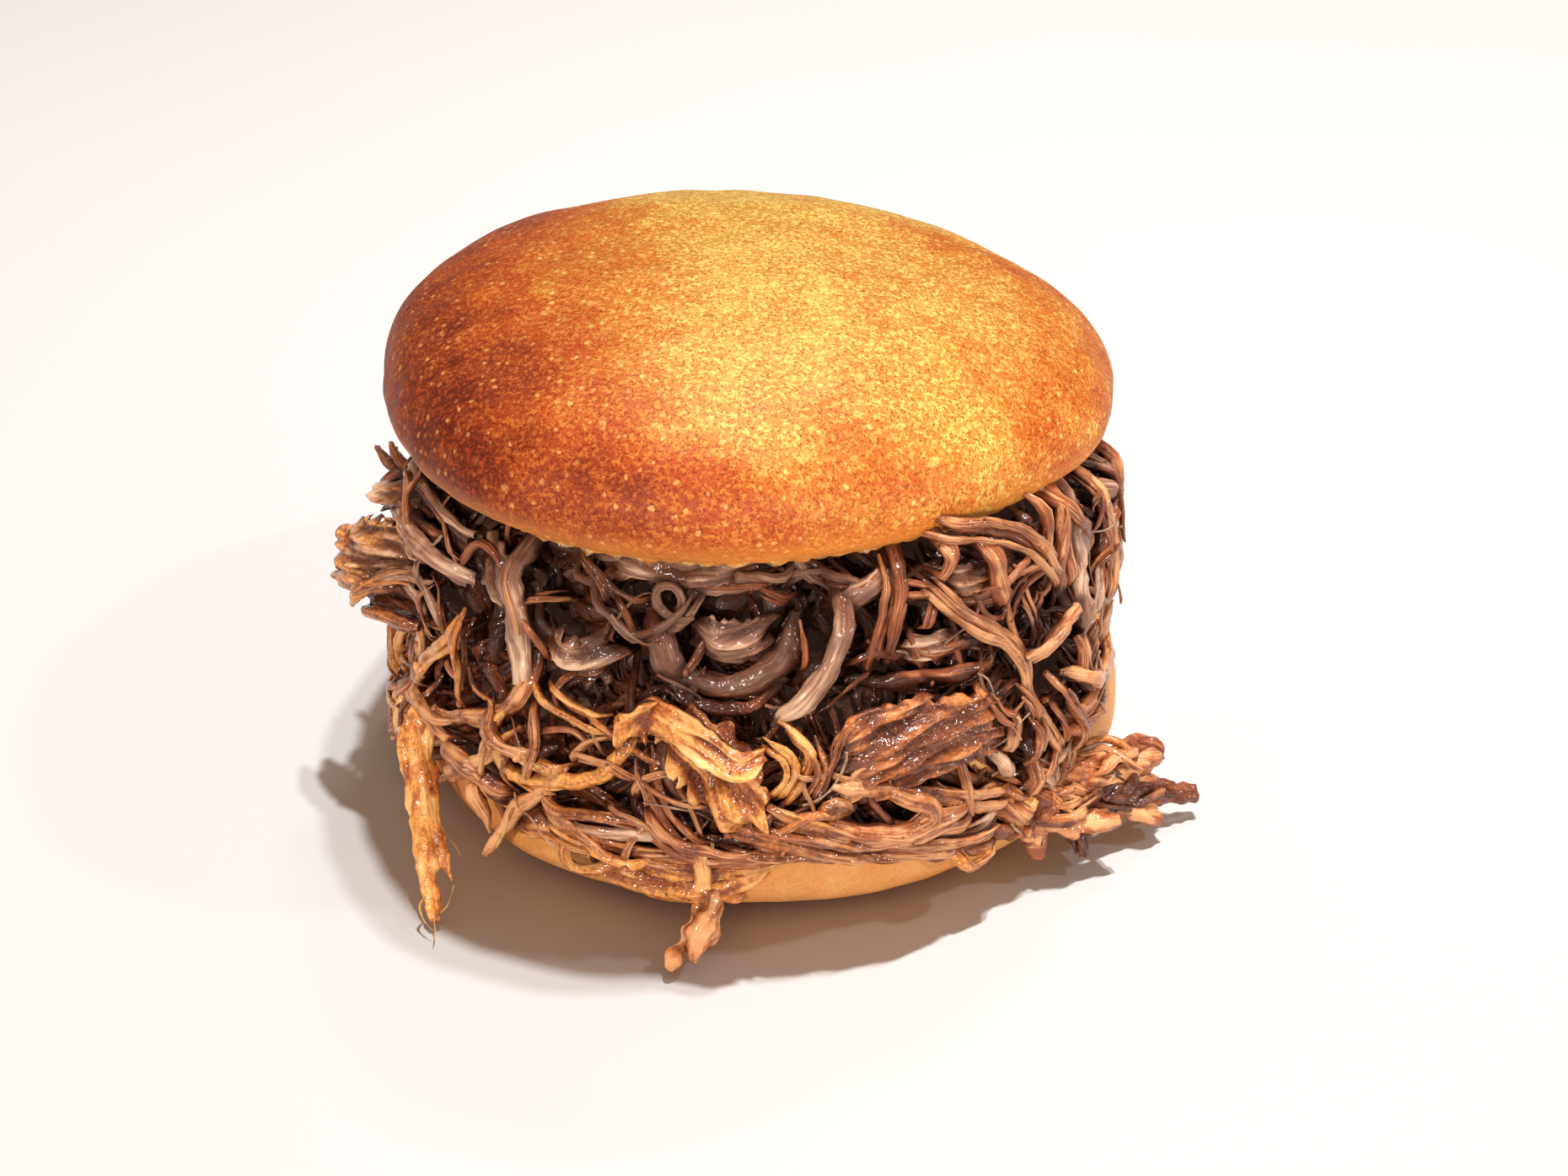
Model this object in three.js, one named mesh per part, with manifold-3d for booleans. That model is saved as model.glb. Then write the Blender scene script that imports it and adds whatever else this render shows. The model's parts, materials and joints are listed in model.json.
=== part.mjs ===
// Pulled pork sandwich: a soft round roll, split in two, with a tall heap of shredded pork between the
// halves. Shreds hang over the rim of the bottom half, and three of them reach out to the table.
// Millimetres, +Z up. The origin is the middle of the flat underside of the bottom half; the front is -Y.
import * as THREE from "three";
import { mergeVertices } from "three/addons/utils/BufferGeometryUtils.js";
import Module from "manifold-3d";

const wasm = await Module();
wasm.setup();

// ---- Driving dimensions ----
const CLEARANCE = 0.3; // air left between touching pieces
const SECTORS = 62; // steps round every turned shape

const TOP = {
  radius: 54.4, // at the girth
  cutRadius: 49.3, // at the edge of the cut face
  girthHeight: 6.5, // girth above the cut face
  domeHeight: 22, // crest above the girth
  centre: new THREE.Vector3(-4.1, 0.6, 54.8), // middle of the cut face
  pitch: -4.7, // degrees about X: the front edge is lifted
  roll: 3.8, // degrees about Y: the right edge sinks
  twoLobed: { share: 0.037, bearing: 26.9 }, // share of the radius, and where a lobe lies, in degrees
  threeLobed: { share: 0.034, bearing: 10.6 },
};

const BOTTOM = {
  radius: 57.7, // at the girth
  footRadius: 41, // of the flat underside
  cutRadius: 56.2, // at the edge of the cut face
  girthHeight: 9,
  rimHeight: 16, // of the cut edge
  dish: 3, // how far the load presses the middle of the cut face down
  twoLobed: { share: 0.008, bearing: 40 },
  threeLobed: { share: 0.007, bearing: 75 },
};

const HEAP = {
  axisX: -2.4, // the heap leans to the left of the bottom half
  wall: [ // height and radius of the heap's side, from the rim up to the top half
    [4, 60],
    [12, 60.2],
    [20, 58.6],
    [30, 57.2],
    [42, 56],
    [60, 53],
  ],
  rings: 14,
  lump: 1.5, // height of the lumps of its surface
  frontHollow: 4, // how far the upper front lies back under the top half
  rightTuck: 3.4, // how far its right foot lies back from the rim of the roll
  leftSag: 1.8, // how much wider it is low on the left
  tuft: { bearing: -72, height: 35, reach: 8, halfAngle: 11, halfHeight: 7 },
  bareFoot: 17, // height of its foot where nothing hangs over the rim
  drapes: [ // bearing and half width in degrees, and how far down the shreds hang there
    { bearing: -68, halfAngle: 22, foot: 3 },
    { bearing: -14, halfAngle: 20, foot: 7 },
    { bearing: 34, halfAngle: 14, foot: 9.5 },
    { bearing: 152, halfAngle: 20, foot: 10 },
  ],
};

// Shreds that leave the heap. Each strand is a line through points, with a width and a thickness; taper is
// the share of the width left at the two ends, and knots are the swellings along it.
const HANGING_STRIP = [
  {
    path: [[-50.5, -27, 23], [-53, -33, 18], [-51.9, -38, 14.6], [-50.2, -45, 10.6], [-48.2, -54.5, 2.2]],
    width: 7.4,
    thickness: 4.6,
    taper: [0.8, 0.26],
    knots: 3,
  },
  {
    path: [[-50.4, -43, 12], [-48.2, -47.5, 10], [-46, -51.6, 7.6], [-44, -55, 4.6]],
    width: 4.4,
    thickness: 3.4,
    taper: [0.6, 0.55],
    knots: 1,
  },
];
const FRONT_SHRED = [
  {
    path: [[-6.8, -55.6, 11], [-8.6, -59.8, 7.6], [-11.1, -63.4, 4.6], [-13.7, -69.8, 1.2]],
    width: 5.4,
    thickness: 3.4,
    taper: [0.8, 0.35],
    knots: 2,
  },
];
const RIGHT_CLUMP = [
  {
    path: [[37, -37.5, 15.5], [41.2, -39.7, 10.4], [44.8, -39.3, 7.4], [50.6, -36.5, 5.8]],
    width: 8.4,
    thickness: 7,
    taper: [0.7, 0.5],
    knots: 2,
  },
  {
    path: [[42, -37, 12.5], [48.7, -34.6, 12], [54.6, -31, 10.8], [59.6, -27.6, 10], [62.8, -25.7, 9.6]],
    width: 7.6,
    thickness: 6.6,
    taper: [0.8, 0.6],
    knots: 3,
  },
  {
    path: [[46.5, -37, 9], [55.2, -33.2, 6.4], [62.3, -30, 4.8], [68.4, -29.8, 3.2]],
    width: 6.2,
    thickness: 4.8,
    taper: [0.8, 0.6],
    knots: 2,
  },
  {
    path: [[38.4, -40.6, 15], [39.4, -43.2, 11.6], [40, -44.4, 8], [40.3, -45.2, 4.2]],
    width: 4.4,
    thickness: 3.4,
    taper: [0.8, 0.5],
    knots: 1,
  },
];
const SHRED_SIDES = 12;
const SHRED_STEPS = 14;

// ---- Shape helpers ----
const radians = THREE.MathUtils.degToRad;
const smooth = THREE.MathUtils.smoothstep;

// Height-to-radius lookup along a list of [height, radius] pairs.
function between(pairs, height) {
  let i = 1;
  while (i < pairs.length - 1 && pairs[i][0] < height) i += 1;
  const [[z0, r0], [z1, r1]] = [pairs[i - 1], pairs[i]];
  return THREE.MathUtils.lerp(r0, r1, THREE.MathUtils.clamp((height - z0) / (z1 - z0), 0, 1));
}

// A roll isn't quite round: its outline as a share of its radius, by angle from +X.
function outline(part, angle) {
  const { twoLobed, threeLobed } = part;
  return (
    1 +
    twoLobed.share * Math.cos(2 * (angle - radians(twoLobed.bearing))) +
    threeLobed.share * Math.cos(3 * (angle - radians(threeLobed.bearing)))
  );
}

// A profile of [radius, height] pairs turned about Z, then stretched to the part's outline.
function turned(profile, part) {
  const lathe = new THREE.LatheGeometry(
    profile.map(([r, z]) => new THREE.Vector2(r, z)),
    SECTORS,
  );
  lathe.rotateX(Math.PI / 2); // the lathe turns about Y
  const place = lathe.getAttribute("position");
  for (let i = 0; i < place.count; i += 1) {
    const [x, y] = [place.getX(i), place.getY(i)];
    const stretch = outline(part, Math.atan2(y, x));
    place.setXY(i, x * stretch, y * stretch);
  }
  return lathe;
}

// Rings of points, each with the same count, closed by a fan at either end.
function ringed(rings, firstTip, lastTip) {
  const sides = rings[0].length;
  const points = [...rings.flat(), firstTip, lastTip];
  const faces = [];
  for (let k = 0; k < rings.length - 1; k += 1) {
    for (let i = 0; i < sides; i += 1) {
      const j = (i + 1) % sides;
      const [a, b] = [k * sides + i, k * sides + j];
      faces.push(a, b, b + sides, a, b + sides, a + sides);
    }
  }
  const first = rings.length * sides;
  const lastRing = (rings.length - 1) * sides;
  for (let i = 0; i < sides; i += 1) {
    const j = (i + 1) % sides;
    faces.push(first, j, i, first + 1, lastRing + i, lastRing + j);
  }
  const made = new THREE.BufferGeometry().setFromPoints(points);
  made.setIndex(faces);
  return made;
}

function solid(geometry) {
  const bare = geometry.clone();
  bare.deleteAttribute("normal");
  bare.deleteAttribute("uv");
  const merged = mergeVertices(bare, 1e-4);
  return new wasm.Manifold(
    new wasm.Mesh({
      numProp: 3,
      vertProperties: merged.getAttribute("position").array,
      triVerts: new Uint32Array(merged.getIndex().array),
    }),
  );
}

// A cut can leave crumbs behind: the piece that counts is the largest one.
function largest(manifold) {
  return manifold.decompose().sort((a, b) => b.volume() - a.volume())[0];
}

function geometryOf(manifold) {
  const mesh = manifold.getMesh();
  const made = new THREE.BufferGeometry();
  made.setAttribute("position", new THREE.BufferAttribute(mesh.vertProperties, 3));
  made.setIndex(new THREE.BufferAttribute(mesh.triVerts, 1));
  made.computeVertexNormals();
  return made;
}

function named(name, geometry, color, roughness) {
  const mesh = new THREE.Mesh(
    geometry,
    new THREE.MeshStandardMaterial({ color, roughness, metalness: 0 }),
  );
  mesh.name = name;
  return mesh;
}

// ---- Top half of the roll: a low dome over a flat cut face, a little tucked in below its girth ----
const topTilt = new THREE.Euler(radians(TOP.pitch), radians(TOP.roll), 0, "YXZ");

function topProfile(grow) {
  const profile = [[0, -grow], [TOP.cutRadius * 0.5, -grow], [TOP.cutRadius + grow, -grow]];
  const tuckSteps = 4;
  for (let i = 1; i <= tuckSteps; i += 1) {
    const rise = i / tuckSteps;
    const tuck = (TOP.radius - TOP.cutRadius) * (1 - rise) ** 2;
    profile.push([TOP.radius - tuck + grow, TOP.girthHeight * rise]);
  }
  const domeSteps = 12;
  for (let i = 1; i < domeSteps; i += 1) {
    const turn = (i / domeSteps) * (Math.PI / 2);
    profile.push([
      (TOP.radius + grow) * Math.cos(turn),
      TOP.girthHeight + (TOP.domeHeight + grow) * Math.sin(turn),
    ]);
  }
  profile.push([0, TOP.girthHeight + TOP.domeHeight + grow]);
  return profile;
}

function topHalf(grow = 0) {
  return turned(topProfile(grow), TOP);
}

// ---- Bottom half: a flat foot, a rounded side, and a cut face dished by the load ----
function bottomProfile(grow) {
  const profile = [[0, -grow], [BOTTOM.footRadius * 0.5, -grow], [BOTTOM.footRadius, -grow]];
  const sideSteps = 6;
  for (let i = 1; i <= sideSteps; i += 1) {
    const turn = (i / sideSteps) * (Math.PI / 2);
    const reach = BOTTOM.radius - BOTTOM.footRadius;
    profile.push([
      BOTTOM.footRadius + reach * Math.sin(turn) + grow,
      BOTTOM.girthHeight * (1 - Math.cos(turn)),
    ]);
  }
  const rimSteps = 4;
  for (let i = 1; i <= rimSteps; i += 1) {
    const rise = i / rimSteps;
    const tuck = (BOTTOM.radius - BOTTOM.cutRadius) * rise * rise;
    const height = THREE.MathUtils.lerp(BOTTOM.girthHeight, BOTTOM.rimHeight, rise);
    profile.push([BOTTOM.radius - tuck + grow, height + (i === rimSteps ? grow : 0)]);
  }
  const dishSteps = 5;
  for (let i = dishSteps - 1; i >= 0; i -= 1) {
    const out = i / dishSteps;
    const height = BOTTOM.rimHeight - BOTTOM.dish * (1 - out * out);
    profile.push([BOTTOM.cutRadius * out, height + grow]);
  }
  return profile;
}

function bottomHalf(grow = 0) {
  return turned(bottomProfile(grow), BOTTOM);
}

// ---- The heap: a leaning, lumpy drum that fills the space between the halves and sags over the rim ----
// Bearing is in degrees from the front, -Y, positive towards +X.
function near(bearing, middle, halfAngle) {
  const off = THREE.MathUtils.euclideanModulo(bearing - middle + 180, 360) - 180;
  return Math.exp(-((off / halfAngle) ** 2));
}

function heapFoot(bearing) {
  return HEAP.drapes.reduce(
    (foot, d) =>
      THREE.MathUtils.lerp(foot, d.foot, smooth(near(bearing, d.bearing, d.halfAngle), 0.25, 0.75)),
    HEAP.bareFoot,
  );
}

function heapRadius(bearing, height) {
  const b = radians(bearing);
  const lumps =
    Math.sin(3 * b + 0.21 * height) * Math.sin(5 * b - 0.33 * height + 1.1) +
    0.7 * Math.sin(9 * b + 0.44 * height) * Math.sin(0.5 * height + 4 * b) +
    0.4 * Math.sin(17 * b - 0.3 * height) * Math.sin(0.8 * height - 2 * b);
  const { tuft } = HEAP;
  const bump = tuft.reach * near(bearing, tuft.bearing, tuft.halfAngle);
  const hollow = HEAP.frontHollow * near(bearing, -4, 52) * smooth(height, 30, 42);
  const tuck = HEAP.rightTuck * near(bearing, 88, 34) * (1 - smooth(height, 18, 30));
  const sag = HEAP.leftSag * near(bearing, -66, 30) * (1 - smooth(height, 8, 30));
  return (
    between(HEAP.wall, height) +
    HEAP.lump * lumps +
    bump * Math.exp(-(((height - tuft.height) / tuft.halfHeight) ** 2)) +
    sag -
    hollow -
    tuck
  );
}

function heapDrum() {
  const tallest = TOP.centre.z + 6;
  const rings = [];
  for (let k = 0; k < HEAP.rings; k += 1) {
    const rise = k / (HEAP.rings - 1);
    const ring = [];
    for (let i = 0; i < SECTORS; i += 1) {
      const bearing = (i / SECTORS) * 360 - 180;
      const height = THREE.MathUtils.lerp(heapFoot(bearing), tallest, rise);
      const r = heapRadius(bearing, height);
      const b = radians(bearing);
      ring.push(new THREE.Vector3(HEAP.axisX + r * Math.sin(b), -r * Math.cos(b), height));
    }
    rings.push(ring);
  }
  const inside = BOTTOM.rimHeight - BOTTOM.dish - 4; // inside the bottom half, which is cut away
  return ringed(
    rings,
    new THREE.Vector3(HEAP.axisX, 0, inside),
    new THREE.Vector3(HEAP.axisX, 0, tallest),
  );
}

// The heap ends at the top half's cut face, which is widened here so that nothing passes its edge.
function heap() {
  const lid = new THREE.BoxGeometry(4 * TOP.radius, 4 * TOP.radius, 2 * TOP.domeHeight);
  lid.translate(0, 0, TOP.domeHeight - CLEARANCE);
  lid.applyMatrix4(new THREE.Matrix4().makeRotationFromEuler(topTilt).setPosition(TOP.centre));
  return largest(
    solid(heapDrum())
      .subtract(solid(bottomHalf(CLEARANCE)))
      .subtract(solid(lid)),
  );
}

// ---- Shreds off the heap: a flattened strand with knots, narrower at its torn ends ----
function strand({ path, width, thickness, taper, knots }) {
  const line = new THREE.CatmullRomCurve3(path.map((p) => new THREE.Vector3(...p)));
  const { normals, binormals } = line.computeFrenetFrames(SHRED_STEPS, false);
  const rings = [];
  for (let k = 0; k <= SHRED_STEPS; k += 1) {
    const along = k / SHRED_STEPS;
    const ends = Math.min(
      THREE.MathUtils.lerp(taper[0], 1, smooth(along, 0, 0.3)),
      THREE.MathUtils.lerp(taper[1], 1, smooth(1 - along, 0, 0.5)),
    );
    const swell = ends * (1 + 0.14 * Math.sin(2 * Math.PI * knots * along + 0.8));
    const middle = line.getPointAt(along);
    const ring = [];
    for (let i = 0; i < SHRED_SIDES; i += 1) {
      const turn = (i / SHRED_SIDES) * 2 * Math.PI;
      ring.push(
        middle
          .clone()
          .addScaledVector(normals[k], 0.5 * thickness * swell * Math.cos(turn))
          .addScaledVector(binormals[k], 0.5 * width * swell * Math.sin(turn)),
      );
    }
    rings.push(ring);
  }
  return ringed(rings, line.getPointAt(0), line.getPointAt(1));
}

// A strand is laid beside the heap and the roll, so what would reach into them is cut away.
function freed(geometries, around) {
  const joined = geometries.map(solid).reduce((a, b) => a.add(b));
  return largest(joined.subtract(solid(bottomHalf(CLEARANCE))).subtract(around));
}

const CRUST = 0xc4762c;
const PORK = 0x8a5a3a;

const heapSolid = heap();
// The heap as the strands see it: grown by the clearance on every side.
const heapAndAir = [
  [CLEARANCE, 0, 0], [-CLEARANCE, 0, 0], [0, CLEARANCE, 0], [0, -CLEARANCE, 0],
  [0, 0, CLEARANCE], [0, 0, -CLEARANCE],
]
  .map((step) => heapSolid.translate(step))
  .reduce((a, b) => a.add(b), heapSolid);

const sandwich = new THREE.Group();
sandwich.name = "pulled_pork_sandwich";

const bunTop = named("bun_top", topHalf(), CRUST, 0.55);
bunTop.position.copy(TOP.centre);
bunTop.rotation.copy(topTilt);
sandwich.add(bunTop);

sandwich.add(named("bun_bottom", bottomHalf(), CRUST, 0.6));
sandwich.add(named("pork_heap", geometryOf(heapSolid), PORK, 0.4));

const shreds = { hanging_strip: HANGING_STRIP, front_shred: FRONT_SHRED, right_clump: RIGHT_CLUMP };
for (const [name, strands] of Object.entries(shreds)) {
  sandwich.add(named(name, geometryOf(freed(strands.map(strand), heapAndAir)), PORK, 0.4));
}

export default sandwich;
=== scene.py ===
"""A pulled pork sandwich: a soft round roll cut in two, with a tall tangled heap of shredded pork."""
import json
import math
from collections import namedtuple

import bpy
import numpy as np
from mathutils import Matrix, Vector

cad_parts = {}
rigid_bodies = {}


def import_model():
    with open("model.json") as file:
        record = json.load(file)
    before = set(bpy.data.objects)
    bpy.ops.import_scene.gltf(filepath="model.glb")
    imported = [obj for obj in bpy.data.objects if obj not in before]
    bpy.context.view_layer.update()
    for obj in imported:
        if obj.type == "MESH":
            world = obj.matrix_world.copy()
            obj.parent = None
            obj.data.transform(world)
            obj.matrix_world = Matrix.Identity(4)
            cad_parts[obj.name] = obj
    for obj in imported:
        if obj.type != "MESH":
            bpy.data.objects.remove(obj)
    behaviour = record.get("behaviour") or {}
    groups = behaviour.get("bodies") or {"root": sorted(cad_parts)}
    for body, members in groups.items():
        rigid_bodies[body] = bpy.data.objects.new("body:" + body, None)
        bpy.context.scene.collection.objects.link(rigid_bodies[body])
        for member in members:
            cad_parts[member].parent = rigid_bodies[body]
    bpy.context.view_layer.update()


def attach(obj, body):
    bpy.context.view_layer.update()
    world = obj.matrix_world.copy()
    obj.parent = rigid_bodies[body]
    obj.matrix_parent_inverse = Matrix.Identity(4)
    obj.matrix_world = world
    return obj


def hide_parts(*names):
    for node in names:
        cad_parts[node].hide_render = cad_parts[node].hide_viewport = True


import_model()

# ---- Camera: stands in front of the sandwich and looks down on it at about 34 degrees ----
CAMERA_AIM = Vector((0.0027, 0.0, 0.0225))
CAMERA_DISTANCE = 0.330
CAMERA_ELEVATION = math.radians(33.93)
camera_data = bpy.data.cameras.new("camera")
camera_data.sensor_fit = "HORIZONTAL"
camera_data.sensor_width = 36.0
camera_data.lens = 46.57
camera_data.clip_start = 0.01
camera_data.clip_end = 20.0
camera = bpy.data.objects.new("camera", camera_data)
bpy.context.scene.collection.objects.link(camera)
camera.location = CAMERA_AIM + CAMERA_DISTANCE * Vector(
    (0.0, -math.cos(CAMERA_ELEVATION), math.sin(CAMERA_ELEVATION))
)
camera.rotation_euler = (math.pi / 2 - CAMERA_ELEVATION, 0.0, 0.0)
bpy.context.scene.camera = camera

# ---- Light: a small lamp nearly overhead, two weak ones, a warm room, and cards in front of the food ----
bpy.context.scene.view_settings.view_transform = "Standard"
bpy.context.scene.view_settings.look = "None"
bpy.context.scene.view_settings.exposure = 0.0


def soft_lamp(name, towards, distance, size, watts, colour):
    data = bpy.data.lights.new(name, "AREA")
    data.shape = "DISK"
    data.size = size
    data.energy = watts
    data.color = colour
    lamp = bpy.data.objects.new(name, data)
    direction = Vector(towards).normalized()
    lamp.location = direction * distance
    lamp.rotation_euler = direction.to_track_quat("Z", "Y").to_euler()
    bpy.context.scene.collection.objects.link(lamp)
    return lamp


LAMP_WHITE = (0.98, 0.99, 1.0)
for name, towards, distance, size, watts in (
    ("lamp_overhead", (0.10, 0.13, 0.99), 1.3, 0.05, 10.0),
    ("lamp_overhead_left", (0.17, 0.17, 0.97), 1.3, 0.05, 5.4),
    ("lamp_behind", (0.12, 0.49, 0.86), 1.4, 0.16, 1.3),
    ("lamp_right", (0.65, -0.05, 0.76), 1.4, 0.07, 1.7),
):
    soft_lamp(name, towards, distance, size, watts, LAMP_WHITE)
# Small cards in front light the food alone, so the shadow it throws on the table stays deep.
CARD_WHITE = (1.0, 0.97, 0.92)
CARD_DISTANCE = 1.25
sandwich = bpy.data.collections.new("sandwich")
filling = bpy.data.collections.new("filling")
lid = bpy.data.collections.new("lid")
for name, towards, size, watts, lit in (
    ("card_above_front", (-0.10, -0.30, 0.95), 0.08, 7.0, filling),
    ("card_low_front", (-0.34, -0.85, 0.42), 0.08, 7.5, sandwich),
    ("card_right", (0.88, -0.42, 0.22), 0.08, 4.0, sandwich),
    ("card_for_the_lid", (0.42, -0.87, 0.26), 0.30, 10.0, lid),
):
    card = soft_lamp(name, towards, CARD_DISTANCE, size, watts, CARD_WHITE)
    card.light_linking.receiver_collection = lit
world = bpy.data.worlds.new("room")
bpy.context.scene.world = world
world.use_nodes = True
ROOM_COLOUR = (1.0, 0.77, 0.59, 1.0)
ROOM_STRENGTH = 0.28
background = world.node_tree.nodes["Background"]
background.inputs["Color"].default_value = ROOM_COLOUR
background.inputs["Strength"].default_value = ROOM_STRENGTH


# ---- Floor: a smooth white table top, wider than any view of it ----
def fill_inputs(tree, made, inputs):
    """Each input is given by name or number, as a value or as another node's output."""
    for key, value in inputs.items():
        if isinstance(value, bpy.types.NodeSocket):
            tree.links.new(value, made.inputs[key])
        else:
            made.inputs[key].default_value = value


def node(tree, kind, inputs=None, **settings):
    made = tree.nodes.new(kind)
    for key, value in settings.items():
        setattr(made, key, value)
    fill_inputs(tree, made, inputs or {})
    return made


def new_material(name):
    made = bpy.data.materials.new(name)
    made.use_nodes = True
    return made, made.node_tree, made.node_tree.nodes["Principled BSDF"]


def object_place(tree):
    return node(tree, "ShaderNodeTexCoord").outputs["Object"]


def noise(tree, vector, scale, detail=2.0, roughness=0.5):
    inputs = {"Vector": vector, "Scale": scale, "Detail": detail, "Roughness": roughness}
    return node(tree, "ShaderNodeTexNoise", inputs).outputs["Fac"]


def colour_mix(tree, factor, a, b, blend="MIX"):
    return node(tree, "ShaderNodeMix", {0: factor, 6: a, 7: b}, data_type="RGBA", blend_type=blend).outputs[2]


FLOOR_WHITE = (0.865, 0.855, 0.845, 1)
FLOOR_SHADE = (0.85, 0.838, 0.825, 1)
FLOOR_HALF = 4.0
table_top, tree, shader = new_material("white_table_top")
white = colour_mix(tree, noise(tree, object_place(tree), 9.0), FLOOR_WHITE, FLOOR_SHADE)
fill_inputs(tree, shader, {"Base Color": white, "Roughness": 0.42, "Specular IOR Level": 0.25})
floor_mesh = bpy.data.meshes.new("table_top")
corners = [(x * FLOOR_HALF, y * FLOOR_HALF, 0.0) for x, y in ((-1, -1), (1, -1), (1, 1), (-1, 1))]
floor_mesh.from_pydata(corners, [], [(0, 1, 2, 3)])
floor_mesh.materials.append(table_top)
floor = bpy.data.objects.new("table_top", floor_mesh)
bpy.context.scene.collection.objects.link(floor)

# ---- Top half of the roll ----
# A soft wheat roll baked to a thin, satin brown crust, then cut level with a bread knife. It lies tilted
# on the heap; its cut edge is ragged with crumb, and the cut face below is pale and open.
# Sizes are in mm, and a mesh is brought to metres when it is made.
MM = 0.001
TOP_GIRTH_RADIUS = 54.4
TOP_CUT_RADIUS = 49.3
TOP_GIRTH_HEIGHT = 6.5
TOP_DOME_HEIGHT = 22.0
TOP_CREST_OFFSET = (-0.6, 2.3)
TOP_CENTRE = np.array([-4.1, 0.6, 54.8])
TOP_PITCH = math.radians(-4.7)
TOP_ROLL = math.radians(3.8)
TOP_SECTORS = 420
TOP_CRUMB_RINGS = 46
TOP_SIDE_RINGS = 15
TOP_DOME_RINGS = 66
top_turn = np.array(Matrix.Rotation(TOP_ROLL, 3, "Y") @ Matrix.Rotation(TOP_PITCH, 3, "X"))


def smooth(x, low=0.0, high=1.0):
    t = np.clip((x - low) / (high - low), 0.0, 1.0)
    return t * t * (3 - 2 * t)


class Ripple:
    """Smooth unevenness: a sum of waves in random directions, of about the given wavelength."""

    def __init__(self, seed, wavelength, waves=26, size=3):
        draw = np.random.default_rng(seed)
        way = draw.normal(size=(waves, size))
        way /= np.linalg.norm(way, axis=1, keepdims=True)
        pitch = wavelength * draw.uniform(0.65, 1.7, size=(waves, 1))
        self.way = way * 2 * math.pi / pitch
        self.phase = draw.uniform(0, 2 * math.pi, waves)
        self.scale = math.sqrt(2.0 / waves)

    def __call__(self, points):
        out = np.zeros(len(points))
        for way, phase in zip(self.way, self.phase):
            out += np.sin(points @ way + phase)
        return out * self.scale


def top_outline(angle):
    two = 0.037 * np.cos(2 * (angle - math.radians(26.9)))
    three = 0.034 * np.cos(3 * (angle - math.radians(10.6)))
    return 1 + two + three


def grid_faces(rings, sectors):
    """Quads between rings of points that run counter-clockwise, each ring above the one before."""
    k, i = np.meshgrid(np.arange(rings - 1), np.arange(sectors), indexing="ij")
    j = (i + 1) % sectors
    quads = np.stack([k * sectors + i, k * sectors + j, (k + 1) * sectors + j, (k + 1) * sectors + i], -1)
    return quads.reshape(-1, 4)


def closed_rings(name, rings):
    """A closed mesh of rings of points in millimetres; the first and last rings close on a pole."""
    sectors = len(rings[0])
    points = np.concatenate([np.concatenate(rings), [rings[0].mean(0)], [rings[-1].mean(0)]])
    faces = grid_faces(len(rings), sectors).tolist()
    low, high = len(rings) * sectors, len(rings) * sectors + 1
    last = (len(rings) - 1) * sectors
    for i in range(sectors):
        j = (i + 1) % sectors
        faces.append((low, j, i))
        faces.append((high, last + i, last + j))
    made = bpy.data.meshes.new(name)
    made.from_pydata((points * MM).tolist(), [], faces)
    made.polygons.foreach_set("use_smooth", [True] * len(made.polygons))
    return made, points


def point_attribute(mesh, name, values):
    made = mesh.attributes.new(name, "FLOAT", "POINT")
    made.data.foreach_set("value", np.asarray(values, dtype=np.float32))


def piece(name, mesh, materials, slot, *nodes):
    """Adds a finished mesh: it rides on the root and replaces the named solids if any. Its slot is not used.
    """
    made = bpy.data.objects.new(name, mesh)
    bpy.context.scene.collection.objects.link(made)
    sandwich.objects.link(made)
    (lid if name == "roll_top" else filling).objects.link(made)
    for material in materials:
        mesh.materials.append(material)
    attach(made, "root")
    if nodes:
        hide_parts(*nodes)


angles = np.linspace(0, 2 * math.pi, TOP_SECTORS, endpoint=False)
ways = np.stack([np.cos(angles), np.sin(angles)], -1)
outline = top_outline(angles)
saw_marks = Ripple(3, 2.6)
crumb_lumps = Ripple(4, 5.5)
edge_lumps = Ripple(5, 1.6)


def level_ring(ways, radius, height):
    """A ring of points at one height, at the radius that is given for each way."""
    return np.column_stack([ways * radius[:, None], np.full(len(ways), height)])


top_rings = []
for share in np.linspace(0.02, 0.985, TOP_CRUMB_RINGS):
    ring = level_ring(ways, TOP_CUT_RADIUS * share * (outline * share + 1 - share), 0.0)
    ring[:, 2] += 0.16 * saw_marks(ring) + 0.38 * crumb_lumps(ring) + 0.12 * edge_lumps(ring)
    ring[:, 2] = ring[:, 2] * smooth(1.0 - share, -0.35, 0.2) + 0.25
    top_rings.append(ring)
for rise in np.linspace(0.0, 1.0, TOP_SIDE_RINGS):
    tuck = (TOP_GIRTH_RADIUS * outline - TOP_CUT_RADIUS * outline) * (1 - rise) ** 2
    ring = level_ring(ways, TOP_GIRTH_RADIUS * outline - tuck, TOP_GIRTH_HEIGHT * rise)
    ragged = (1 - smooth(rise, 0.0, 0.22)) * (0.26 * edge_lumps(ring) + 0.22 * saw_marks(ring))
    ring[:, :2] += ways * ragged[:, None]
    ring[:, 2] += (1 - smooth(rise, 0.0, 0.3)) * 0.3 * edge_lumps(ring + 40.0)
    top_rings.append(ring)
for share in np.linspace(0.0, 1.0, TOP_DOME_RINGS)[1:-1]:
    turn = share * math.pi / 2
    level = TOP_GIRTH_HEIGHT + TOP_DOME_HEIGHT * math.sin(turn)
    ring = level_ring(ways, TOP_GIRTH_RADIUS * math.cos(turn) * outline, level)
    ring[:, :2] += np.array(TOP_CREST_OFFSET) * share**2
    top_rings.append(ring)
top_mesh, top_points = closed_rings("roll_top", top_rings)
dents = Ripple(6, 30.0)
dimples = Ripple(7, 9.0)
height = top_points[:, 2]
on_crust = smooth(height, 0.6, 3.0)
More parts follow.
